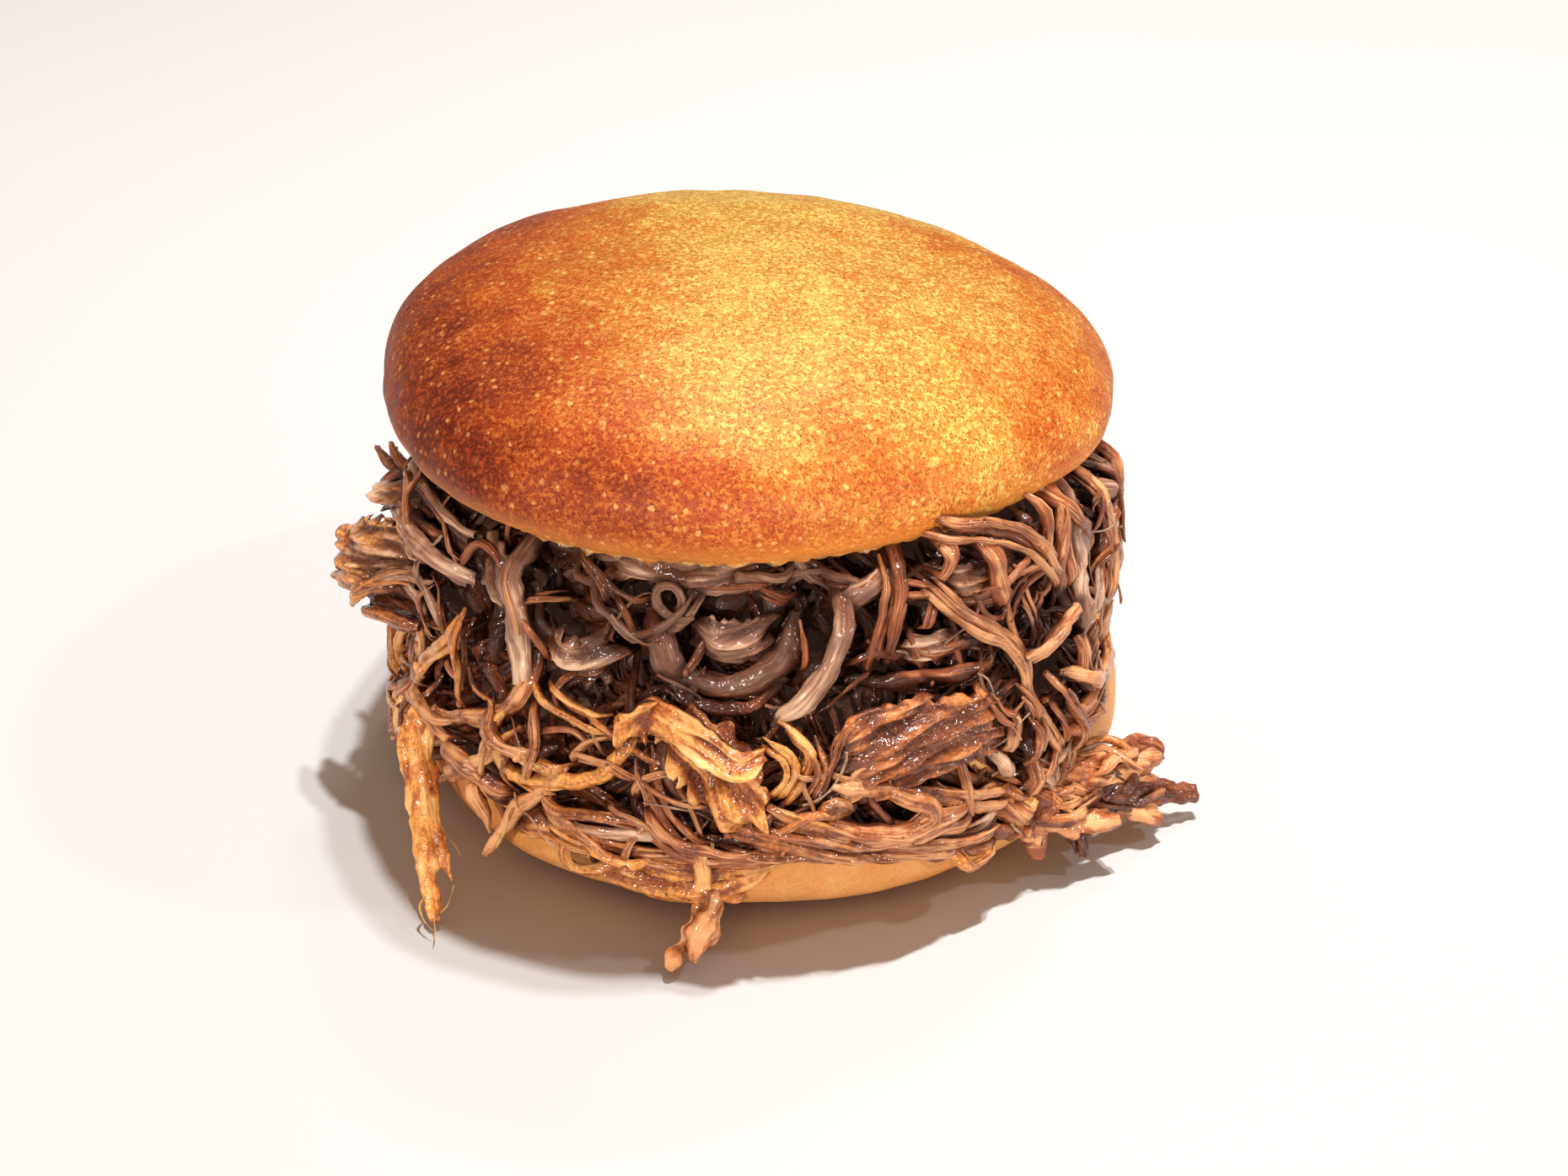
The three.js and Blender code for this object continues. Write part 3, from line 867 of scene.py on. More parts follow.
def foot_level(bearing):
    """Where the heap ends on the roll's rim: lower where it hangs over."""
    level = FOOT_LEVEL - 1.8 * bearing_window(bearing, 180, 75)
    for middle, half, down in DRAPES:
        level -= (FOOT_LEVEL - down) * bearing_window(bearing, middle, half)
    return level + 0.6 * bearing_window(bearing, 80, 12) + 2.5 * bearing_window(bearing, 63, 7)


WANDER_STEP = 1.1
HOLE_EDGE = 0.45


def wander(bearing, level, heading, length, curl, settle, width, past_holes=False):
    """A strand's random line over the heap's side, which stops where it leaves the heap or meets a hole."""
    step = WANDER_STEP
    u, v = math.radians(bearing) * FIELD_RADIUS, level
    bend = draw.normal(0, curl)
    points = []
    for _ in range(int(length / step)):
        points.append((math.degrees(u / FIELD_RADIUS), v))
        bend += -bend * settle * step + draw.normal(0, curl * 0.45)
        heading += bend * step
        u += step * math.cos(heading)
        v += step * math.sin(heading)
        b = math.degrees(u / FIELD_RADIUS)
        roof = cut_face_level(*heap_point(b, 0.0, 52.0)[:2]) - 1.2 - 0.4 * width
        middle, height, half_width, half_height, _ = front_hollows.T
        across = ((b - middle + 180) % 360 - 180) * (math.pi / 180 * FIELD_RADIUS) / half_width
        in_hole = (across**2 + ((v - height) / half_height) ** 2).min() < HOLE_EDGE
        if v > roof or v < foot_level(b) + 0.3 * width or (in_hole and not past_holes):
            break
    points = np.array(points)
    run = np.arange(len(points)) * step
    return points, run


def strand_look(bearing, level):
    """Kind, tone and glaze by place: golden low on the left, greyish above, brown on the right and behind."""
    high = smooth(level, 33, 43)
    left = bearing_window(bearing, -40, 50)
    chance = draw.uniform()
    if chance < 0.7 * left * (1 - high):
        return "shreds_golden", draw.uniform(0.0, 0.42), draw.uniform(0.4, 1.0)
    if chance < 0.35 * left * high + 0.35 * high + 0.18:
        return "shreds_pale", draw.uniform(0.05, 0.45), draw.uniform(0.0, 0.35)
    if chance > 0.86:
        return "shreds_golden", draw.uniform(0.2, 0.6), draw.uniform(0.35, 0.8)
    kind = "shreds_brown" if chance < 0.6 else "shreds_tan"
    return kind, draw.uniform(0.25, 0.85), draw.uniform(0.2, 0.65)


def fill(count, widths, lengths, curl, settle, strands, proud, bob, deep=False, near=None, steep=0.8,
         kind=None, low=None):
    """Lays random strands, all round the heap or near one place (bearing, height, spread of both)."""
    laid = 0
    while laid < count:
        if near is None:
            bearing, level = draw.uniform(-180, 180), draw.uniform(12, 55)
        else:
            bearing, level = draw.normal(near[0], near[2]), draw.normal(near[1], near[3])
        width = draw.uniform(*widths)
        heading = draw.normal(0, steep) + math.pi * draw.integers(0, 2)
        length = draw.uniform(*lengths)
        past_holes = deep or draw.uniform() < 0.12
        path, run = wander(bearing, level, heading, length, curl, settle, width, past_holes)
        if len(path) < 9:
            continue
        laid += 1
        middle = len(path) // 2
        found, tone, glaze = strand_look(path[middle, 0], path[middle, 1])
        found = "shreds_deep" if deep else kind or found
        number = int(draw.integers(strands[0], strands[1] + 1))
        flatness = draw.uniform(0.5, 0.85)
        tuck = 3.0 if draw.uniform() < 0.75 else -0.6
        radius = lay(path, run, width, width * flatness, (3.0, tuck), draw.uniform(3, 8), proud, low, bob)
        bundle(found, heap_point(path[:, 0], path[:, 1], radius), outward(path), run, width, number, flatness,
               tone, glaze, draw.normal(0, 0.05))


# How many, their widths and lengths, how much they curl and how soon a curl settles, how many fibres are
# in each, how far they stand out of the heap's side, and how much they bob in and out.
fill(130, (2.6, 5.2), (25, 50), 0.07, 0.1, (1, 3), -5.5, 2.0, deep=True)
fill(40, (4.5, 8.0), (12, 24), 0.05, 0.1, (4, 6), -2.5, 1.5)
fill(110, (2.2, 4.8), (22, 50), 0.10, 0.12, (2, 4), -1.8, 3.0)
fill(60, (1.8, 4.0), (16, 44), 0.08, 0.12, (2, 3), 0.5, 1.0, near=(180, 17.5, 75, 1.5), steep=0.15,
     low=-1.5)
fill(46, (1.8, 4.0), (16, 40), 0.12, 0.12, (2, 4), -1.0, 2.5, near=(10, 44, 40, 6))
fill(36, (1.4, 3.2), (14, 30), 0.08, 0.12, (1, 2), 1.2, 1.5, near=(-70, 15, 9, 7), steep=1.6)
fill(24, (1.6, 3.6), (14, 34), 0.10, 0.12, (1, 3), 0.5, 1.0, near=(84, 26, 13, 3), low=-1.2)
fill(26, (1.6, 3.6), (14, 34), 0.12, 0.12, (1, 3), -1.5, 1.5, near=(80, 46, 16, 4), low=-4.0)
fill(34, (1.6, 3.4), (12, 28), 0.12, 0.12, (1, 3), 1.0, 1.0, near=(44, 15, 5, 3), steep=1.2)
fill(220, (1.0, 2.2), (14, 36), 0.18, 0.16, (1, 2), 0.4, 3.2)
fill(150, (0.6, 1.2), (8, 26), 0.22, 0.16, (1, 1), 0.8, 2.5, kind="shreds_thin")


UNDER_LID_LEVEL = 52.5
UNDER_LID_TUCK = 9.0


def strand(kind, width, strands, controls, tone, glaze, ends=(3.0, 3.0), flatness=0.7, stiff=5.0, proud=2.2,
           low=-2.5, rough=0.2, blunt=0.5, fray=0.35):
    """One strand that is laid through the given (bearing, height) points, its ends tucked in."""
    path, run = on_side(controls, 0.9)
    ends = [
        UNDER_LID_TUCK if level > UNDER_LID_LEVEL else end
        for end, (_, level) in zip(ends, (controls[0], controls[-1]))
    ]
    radius = lay(path, run, width, width * flatness, ends, stiff, proud, low, open_places=False)
    twist = draw.normal(0, 0.02)
    bundle(kind, heap_point(path[:, 0], path[:, 1], radius), outward(path), run, width, strands, flatness,
           tone, glaze, twist, fray, blunt, rough)


def loose_strand(kind, width, strands, controls, tone, glaze, face=(0.0, -0.5, 0.85), twist=0.03, rough=0.14,
                 blunt=0.45, fray=0.3, flatness=0.7):
    """One strand that stands clear of the heap, through the given points in mm."""
    line, run = through(controls, 0.8)
    out = np.tile(np.array(face), (len(line), 1))
    bundle(kind, line, out, run, width, strands, flatness, tone, glaze, twist, fray, blunt, rough)


# Strands that lie along the rim on the right, and close under the lid on the right and behind.
fill(30, (1.8, 3.6), (14, 32), 0.08, 0.12, (2, 3), 0.0, 1.0, near=(90, 18.6, 16, 1.0), steep=0.12,
     low=-1.5)
fill(46, (1.6, 3.2), (14, 32), 0.08, 0.12, (1, 2), -0.5, 1.0, near=(135, 56, 40, 2.2), steep=0.15,
     low=-3.0)

# Strands laid one by one: kind, width, how many fibres are in it, its points, tone (0 pale to 1 dark) and
# glaze (0 dry to 1 sauced).

# Strands of the upper left: long pale bundles under the roll, and the tufts that stand out of the side.
strand("shreds_pale", 5.0, 3, [(-84, 48), (-76, 51), (-66, 52.5), (-56, 52.5), (-47, 51)], 0.3, 0.25)
strand("shreds_brown", 3.4, 2, [(-90, 50), (-80, 47), (-70, 47.5), (-60, 49), (-52, 50)], 0.45, 0.3)
strand("shreds_pale", 5.5, 3, [(-84, 42), (-74, 44.5), (-64, 47), (-54, 46.5), (-49, 44)], 0.25, 0.3)
strand("shreds_pale", 5.0, 3, [(-66, 42.5), (-61, 41), (-58, 37.5), (-60, 34)], 0.3, 0.3, flatness=0.8)
loose_strand("shreds_brown", 3.2, 2, [(-50, -8, 47.5), (-55, -5, 47), (-58.5, -1, 47.5),
             (-60.5, 3, 49.5)], 0.4, 0.5)
loose_strand("shreds_brown", 2.6, 1, [(-56, -3, 47), (-58.5, -3.5, 45), (-60, -2.5, 42.5)], 0.4, 0.6)
loose_strand("shreds_pale", 6.5, 4, [(-48, -24, 43), (-53, -23, 42.5), (-58, -21, 40.5),
             (-62.5, -19, 38.5)], 0.2, 0.4)
loose_strand("shreds_golden", 4.6, 3, [(-52, -22, 38), (-57, -21, 38.5), (-61.5, -19.5, 37),
             (-63.5, -17.5, 34)], 0.25, 0.5)
loose_strand("shreds_brown", 4.0, 2, [(-50, -27, 36), (-55, -25, 35.5), (-59.5, -22, 34),
             (-60, -19, 31.5)], 0.4, 0.5)
strand("shreds_pale", 1.7, 1, [(-32, 56), (-31.3, 53.4), (-27.6, 52.3), (-24, 53.5), (-21, 56)], 0.5,
       0.1)
strand("shreds_pale", 2.3, 2, [(-29, 55), (-25.7, 52), (-21.6, 48.8), (-18.6, 46.5), (-14.5, 47.9),
       (-9.6, 52), (-6, 56)], 0.35, 0.2, proud=3.0, low=-1.0)
strand("shreds_pale", 4.0, 1, [(-17, 50), (-14.6, 46.6), (-11.3, 41.7), (-5, 40.2), (1.2, 41.9),
       (5.5, 45), (7.5, 50)], 0.85, 0.3, flatness=0.9, low=-1.5, rough=0.05)
strand("shreds_tan", 2.0, 1, [(-14, 42.5), (-10, 39), (-4, 37.6), (1, 38.6), (5, 41.5)], 0.4, 0.8,
       low=-0.5)
strand("shreds_pale", 2.4, 1, [(-40, 48), (-36, 43.5), (-31, 42), (-26, 43.5), (-24, 46)], 0.7, 0.1)
strand("shreds_pale", 3.9, 1, [(-41, 57), (-39.6, 50), (-37.6, 43), (-36.2, 36.5)], 0.25, 0.15,
       ends=(3.0, -1.0), proud=3.5, low=0.0, flatness=0.55, blunt=1.0, rough=0.08)

# Strands of the lower left: golden with sauce, looping out of the side of the heap.
strand("shreds_golden", 2.4, 2, [(-47, 44), (-48.7, 42.5), (-51.9, 36.4), (-60, 28), (-62, 22),
       (-57, 21)], 0.15, 0.9, low=0.0, proud=3.5)
strand("shreds_tan", 2.8, 1, [(-60, 21), (-57, 21.6), (-48.6, 25.2), (-40.3, 29.4), (-36.6, 33.1),
       (-34.8, 37), (-35.5, 41)], 0.3, 0.7, low=-0.5)
strand("shreds_golden", 2.8, 2, [(-49.5, 43), (-48.2, 35), (-47.3, 25.5)], 0.45, 0.8, low=-0.5)
strand("shreds_golden", 3.6, 2, [(-35, 34), (-37.1, 29.6), (-39.1, 25.1), (-36.8, 22.3), (-33, 22.1),
       (-26.4, 24.1), (-20.2, 27.6), (-17.2, 31.4), (-15.5, 35)], 0.1, 0.9, low=0.5, proud=4.0)
strand("shreds_golden", 2.6, 2, [(-38, 28.5), (-33.2, 27.2), (-28.6, 26.8), (-24, 27)], 0.35, 0.95,
       low=1.0, proud=3.5)
strand("shreds_golden", 2.6, 2, [(-34.5, 39), (-32.9, 37.7), (-29.9, 36.7), (-26.5, 35.4),
       (-22.3, 34.3), (-18, 33.2)], 0.2, 0.8, low=0.5, proud=3.5)
strand("shreds_brown", 2.6, 1, [(-42, 31), (-38, 28), (-33, 27.5), (-29, 29)], 0.3, 0.6)
strand("shreds_brown", 3.6, 2, [(-66, 24), (-60, 21.5), (-53, 22), (-46, 24)], 0.3, 0.7)
strand("shreds_tan", 2.4, 1, [(-36, 26), (-41.1, 23), (-46.4, 18.8), (-50.5, 14)], 0.2, 0.6, low=0.5)
strand("shreds_brown", 3.2, 2, [(-52, 19.5), (-46, 21), (-40, 19.5), (-34, 17)], 0.4, 0.6)
strand("shreds_brown", 3.4, 2, [(-33, 20.5), (-26, 20), (-18, 20.5), (-8, 19.4), (2, 18.5), (9, 20)],
       0.4, 0.5)
strand("shreds_pale", 2.0, 1, [(-29, 18.6), (-21, 19.2), (-13.3, 20), (-8, 19)], 0.2, 0.3, low=0.0)
strand("shreds_golden", 3.6, 3, [(-34, 16.5), (-28, 17), (-20, 16.5), (-10, 16), (0, 15.5), (8, 16)],
       0.45, 0.6)
strand("shreds_tan", 2.0, 1, [(-41.9, 20), (-41, 17.5), (-38, 12.5)], 0.2, 0.5, ends=(2.0, -1.0),
       low=0.5)
strand("shreds_tan", 2.2, 1, [(-29, 23), (-32.3, 20), (-36.5, 13), (-39, 8.5)], 0.15, 0.5,
       ends=(2.0, -2.0), low=0.5)
strand("shreds_tan", 1.7, 1, [(-29.5, 22.5), (-27.8, 21.2), (-23, 18.4), (-18.5, 15.8)], 0.15, 0.6,
       ends=(2.0, -0.5), low=1.0)
strand("shreds_golden", 1.8, 1, [(-23, 18.5), (-25, 17), (-26.5, 12.8), (-25.5, 10.2), (-21.5, 11),
       (-16, 13.5)], 0.3, 0.9, low=None)
strand("shreds_golden", 2.2, 1, [(-24.5, 17.5), (-22, 16.2), (-16.8, 15.3), (-12, 15.4)], 0.25, 0.9,
       low=0.0)
strand("shreds_golden", 2.6, 1, [(-7.5, 18.5), (-6.8, 16), (-6.6, 12.8)], 0.15, 0.7, ends=(1.0, -0.6),
       low=0.0, blunt=0.9)

# Strands of the middle: pale loops round the flap, and brown ones that run down to the right of it.
strand("shreds_pale", 3.8, 1, [(-12.5, 35), (-12, 31), (-11.2, 28), (-8.7, 24.5), (-4.7, 23.5),
       (0, 24.5)], 0.1, 0.3, low=-1.0, rough=0.06)
strand("shreds_brown", 2.8, 2, [(-15.5, 33), (-14.2, 29.9), (-11.6, 23.3), (-7, 19.5), (-2, 17.2)], 0.4,
       0.6, low=0.0)
strand("shreds_brown", 3.0, 2, [(-17, 26), (-14, 22), (-9, 19), (-2, 18), (6, 18.5)], 0.45, 0.5)
strand("shreds_golden", 2.6, 2, [(1.0, 37.5), (4.8, 36.4), (7.6, 33.5), (6.6, 29.5), (4.0, 26.2),
       (1.5, 22.4)], 0.3, 1.0, proud=4.0, low=1.6, rough=0.25)
strand("shreds_golden", 1.8, 2, [(-1.5, 35.6), (3.0, 34.6), (5.0, 31.5), (3.6, 28), (0.5, 24.4)], 0.1,
       0.9, proud=4.6, low=2.4, rough=0.3)
strand("shreds_brown", 2.2, 2, [(8.5, 36), (9.6, 32), (8.0, 28), (5.5, 24)], 0.45, 0.9, proud=3.0,
       low=0.8)

# Strands of the upper right: long browned strands that run down from under the roll.
for kind, width, strands, controls, tone in (
    ("shreds_brown", 3.4, 2, [(49, 61), (51.5, 56), (50.5, 50), (53, 44)], 0.2),
    ("shreds_brown", 4.0, 2, [(62, 59), (59, 52), (57, 46), (59, 39)], 0.25),
    ("shreds_pale", 3.6, 1, [(67, 58), (64, 52), (62.5, 45), (61, 37), (64, 31)], 0.1),
    ("shreds_tan", 2.2, 1, [(56, 60), (61, 53), (66, 47), (68, 39)], 0.15),
    ("shreds_brown", 3.8, 3, [(75, 56), (72, 49), (73.5, 41), (71, 33), (73, 28)], 0.15),
    ("shreds_pale", 2.8, 2, [(80, 55), (83, 48), (80, 40), (82, 32), (79, 26)], 0.3),
    ("shreds_brown", 3.4, 2, [(92, 53), (87, 45), (89, 36), (86, 29), (90, 24)], 0.3),
    ("shreds_brown", 3.0, 2, [(100, 51), (104, 42), (100, 32), (103, 22)], 0.35),
):
    strand(kind, width, strands, controls, tone, 0.5, low=-2.5, proud=0.4)
strand("shreds_brown", 3.2, 3, [(26, 61), (31.7, 61), (39.6, 58.5), (47, 53.7), (53.3, 45.7), (56, 41)],
       0.1, 0.7, low=0.0)
strand("shreds_brown", 3.2, 3, [(18, 53), (26, 52), (34, 49), (40, 48), (48, 49)], 0.25, 0.6)
strand("shreds_brown", 3.4, 3, [(24, 60), (22.5, 54.4), (21.6, 49.5), (20, 43.5), (21.2, 38.4)], 0.25,
       0.6, low=-1.0)
strand("shreds_tan", 2.0, 1, [(25.4, 47), (26.6, 42.1), (29.5, 37.7)], 0.4, 0.4)
strand("shreds_brown", 2.6, 1, [(24, 44), (29, 42), (35, 42), (41, 38)], 0.5, 0.4)
strand("shreds_brown", 2.4, 1, [(16, 38), (22, 39), (28, 38.6), (35, 38), (42, 36)], 0.5, 0.4)
strand("shreds_pale", 3.0, 1, [(15.6, 56), (14.6, 50.5), (11.8, 44.6), (7.3, 40), (2.9, 36.5)], 0.05,
       0.1, proud=4.0, low=-0.5, rough=0.07)
strand("shreds_golden", 1.4, 1, [(7.5, 50), (8, 46), (7.2, 42)], 0.2, 0.4, low=0.5)
strand("shreds_tan", 3.2, 3, [(25, 56), (27.8, 53.3), (32.6, 48.3), (39.8, 42.1), (43.2, 36.8),
       (43.8, 31.4), (47.7, 23.4), (52, 15.5)], 0.05, 0.75, proud=4.0, low=1.0, fray=0.1)
strand("shreds_tan", 2.0, 1, [(30, 61), (31.7, 57), (29.7, 53.5), (28, 53)], 0.15, 0.7, proud=3.0,
       low=1.0)
strand("shreds_tan", 2.4, 1, [(37.5, 60), (38.6, 56.7), (40.5, 51), (42.5, 44.5)], 0.2, 0.8, proud=3.5,
       low=0.8, blunt=0.9)
strand("shreds_tan", 3.4, 2, [(43.5, 36.5), (48, 39.5), (53, 41), (57, 39)], 0.0, 0.6, proud=3.0,
       low=1.0, blunt=0.9)

# Strands of the lower right: those round the slab, and swoops that end in the side clump.
strand("shreds_pale", 3.2, 3, [(17, 16.2), (23, 14.8), (29.8, 14.3), (34.8, 15.3), (40.5, 16.5)], 0.15,
       0.2, flatness=0.5, low=None)
strand("shreds_brown", 4.2, 3, [(-4.7, 21), (2, 20), (8.3, 18.7), (21.8, 15), (32, 13), (40, 12.5)],
       0.35, 0.6)
strand("shreds_brown", 3.4, 2, [(-7, 23.6), (1, 21.9), (10, 19.1), (19.3, 15)], 0.4, 0.6)
strand("shreds_brown", 3.6, 2, [(4, 24), (10.5, 21.7), (17.2, 18.9), (26, 18.5), (36, 18.5)], 0.4, 0.6)
strand("shreds_tan", 2.6, 2, [(-1.3, 25.9), (2.7, 24.7), (10.5, 21.7), (17.2, 18.3)], 0.3, 0.7, low=0.0)
strand("shreds_tan", 3.0, 2, [(6, 31.2), (9, 29.8), (13.7, 28.1), (22.1, 24.9), (32.3, 21), (42, 16)],
       0.15, 0.85, low=0.5)
strand("shreds_brown", 2.4, 1, [(16, 26.5), (19.6, 25.5), (24, 23.4), (24.8, 20.6), (21, 19.4),
       (16.4, 21.5)], 0.25, 0.7, low=0.5)
strand("shreds_brown", 2.0, 1, [(9.3, 22), (9.9, 24.9), (11.9, 25.7), (13.9, 23.4)], 0.3, 0.7, low=0.5)
strand("shreds_pale", 2.6, 1, [(35.5, 25.5), (37.5, 23.5), (40, 20)], 0.0, 0.2, low=1.0, blunt=0.9)
strand("shreds_brown", 2.6, 2, [(40.8, 32.5), (39.6, 28), (38.3, 23.5)], 0.45, 0.6, low=0.0)
strand("shreds_brown", 2.6, 2, [(43.2, 30), (44.2, 24.5), (42.2, 19.5)], 0.45, 0.6, low=0.0)
strand("shreds_golden", 1.5, 1, [(27, 13.5), (28.4, 12.4), (30.3, 9.9), (33.1, 10.2), (36.5, 11.5)],
       0.2, 0.8, low=None)
strand("shreds_brown", 3.4, 2, [(46, 33), (50, 27), (52, 22), (50, 17)], 0.45, 0.5)
strand("shreds_brown", 3.4, 2, [(60, 36), (58, 30), (60, 25), (65, 21)], 0.5, 0.5)
strand("shreds_tan", 2.6, 1, [(52, 31), (57, 27.5), (63, 24), (71, 22), (82, 22)], 0.3, 0.7, low=0.5)
strand("shreds_brown", 3.6, 2, [(47, 25), (52, 23), (60, 22), (70, 21.5)], 0.4, 0.6, low=0.0)

# Thin strands that fell over the rest.
fill(60, (0.8, 1.7), (10, 26), 0.22, 0.16, (1, 2), 3.0, 1.0, near=(-10, 34, 32, 10), kind="shreds_tan",
     low=-3.0)
fill(40, (0.8, 1.7), (10, 26), 0.22, 0.16, (1, 2), 2.4, 1.0, near=(45, 40, 22, 10), kind="shreds_tan",
     low=-3.0)
fill(70, (0.8, 1.7), (10, 26), 0.22, 0.16, (1, 2), 2.0, 1.0, near=(180, 34, 60, 12), kind="shreds_pale",
     low=-3.0)
# Strands of the back left, where the tangle would else be thin.
fill(64, (1.6, 3.4), (14, 34), 0.10, 0.12, (1, 3), -0.8, 1.5, near=(-116, 43, 22, 7), steep=1.0,
     low=-4.5)

# ---- Threads that cling to the strands ----
# Finer fibre of the same meat that parted from a strand when it was pulled. Each lies along its strand,
# stuck to it, and lifts away or crosses over at its ends.
THREADS = 420
parents = [
    one
    for kind in ("shreds_brown", "shreds_golden", "shreds_pale", "shreds_tan")
    for one in shreds[kind]
    if len(one.line) > 12 and one.widths.mean() > 1.2
]
for _ in range(THREADS):
    parent = parents[draw.integers(len(parents))]
    length = int(draw.integers(8, min(len(parent.line), 26)))
    first = int(draw.integers(0, len(parent.line) - length + 1))
    part = slice(first, first + length)
    along = np.gradient(parent.line[part], axis=0)
    along /= np.linalg.norm(along, axis=1, keepdims=True) + 1e-9
    facing = parent.facing[part]
    side = np.cross(along, facing)
    t = np.linspace(-1, 1, length)
    angle = draw.uniform(-1.1, 1.1) + draw.normal(0, 0.7) * t
    lift = 0.08 + draw.uniform(0, 0.5) * np.abs(t) ** 4
    away = 0.47 * parent.widths[part] + lift * draw.choice([1.0, 2.4])
    place = parent.line[part] + facing * (0.75 * away * np.cos(angle))[:, None]
    place += side * (away * np.sin(angle))[:, None]
    thickness = draw.uniform(0.45, 0.95) * (1 - 0.5 * np.abs(t) ** 6)
    tone = np.clip(parent.tone[part] + draw.normal(0, 0.16), 0, 1)
    glaze = np.clip(parent.glaze[part] + draw.normal(0, 0.15), 0, 1)
    golden = bearing_window(bearing_of(place).mean(), -35, 40) * (1 - smooth(place[:, 2].mean(), 36, 44))
    kind = "threads_golden" if draw.uniform() < 0.85 * golden else "threads"
    shreds.setdefault(kind, []).append(Fibre(place, thickness, facing, tone, glaze, draw.uniform()))

# ---- Hairs: single fibres that have come away from the strands ----
# They are the meat's own fibres, thinner than a thread. Each is caught in the tangle at one end, follows
# the heap's side, and stands a little off it.
HAIRS = 150
for _ in range(HAIRS):
    bearing, level, heading = draw.uniform(-180, 180), draw.uniform(8, 52), draw.uniform(0, 6.28)
    path, run = wander(bearing, level, heading, draw.uniform(6, 17), 0.2, 0.2, 1)
    if len(path) < 7:
        continue
    under = np.minimum(surface[cell_of(path[:, 0], path[:, 1])], heap_wall(path[:, 0], path[:, 1]) + 2)
    radius = gauss(under, 3.0) + draw.uniform(0.1, 0.9)
    radius += draw.uniform(-2.5, 1.8) * (1 - smooth(run, 0, 6))
    line = heap_point(path[:, 0], path[:, 1], radius)
    thickness = draw.uniform(0.28, 0.55)
    tone, glaze = draw.uniform(0, 0.4), draw.uniform(0.2, 0.8)
    fibre("hairs", line, np.full(len(line), thickness), outward(path), tone, glaze)

# ---- Sweep: turns the noted fibres of each kind into solid strands ----
# A tree takes the fibres' lines and sweeps a flattened round along them; ridges of finer fibre and
# small knots are raised on it, and torn ends are closed.
def shape_tree(name, sizes):
    """A new tree with geometry in and out and the given sizes as named inputs; also its inputs' values."""
    tree = bpy.data.node_groups.new(name, "GeometryNodeTree")
    tree.interface.new_socket("Geometry", in_out="INPUT", socket_type="NodeSocketGeometry")
    for label, value in sizes.items():
        kind = "NodeSocketInt" if isinstance(value, int) else "NodeSocketFloat"
        tree.interface.new_socket(label, in_out="INPUT", socket_type=kind).default_value = value
    tree.interface.new_socket("Geometry", in_out="OUTPUT", socket_type="NodeSocketGeometry")
    return tree, node(tree, "NodeGroupInput").outputs


def named(tree, label, kind="FLOAT"):
    return node(tree, "GeometryNodeInputNamedAttribute", {"Name": label}, data_type=kind).outputs["Attribute"]


def shaped(tree, kind, geometry, **inputs):
    """Geometry after one more step; an input's name has underscores for spaces."""
    inputs = {label.replace("_", " "): value for label, value in inputs.items()}
    return node(tree, kind, {"Geometry": geometry, **inputs}).outputs["Geometry"]


def vector(tree, operation, a, b):
    return node(tree, "ShaderNodeVectorMath", {0: a, 1: b}, operation=operation).outputs["Vector"]


def scaled(tree, a, share):
    return node(tree, "ShaderNodeVectorMath", {0: a, "Scale": share}, operation="SCALE").outputs["Vector"]


def finish_tree(tree, geometry, material):
    """Shades the result smooth, makes real any instances, gives it its material and ends the tree."""
    geometry = shaped(tree, "GeometryNodeSetShadeSmooth", geometry, Shade_Smooth=True)
    geometry = shaped(tree, "GeometryNodeRealizeInstances", geometry)
    geometry = shaped(tree, "GeometryNodeSetMaterial", geometry, Material=material)
    node(tree, "NodeGroupOutput", {"Geometry": geometry})


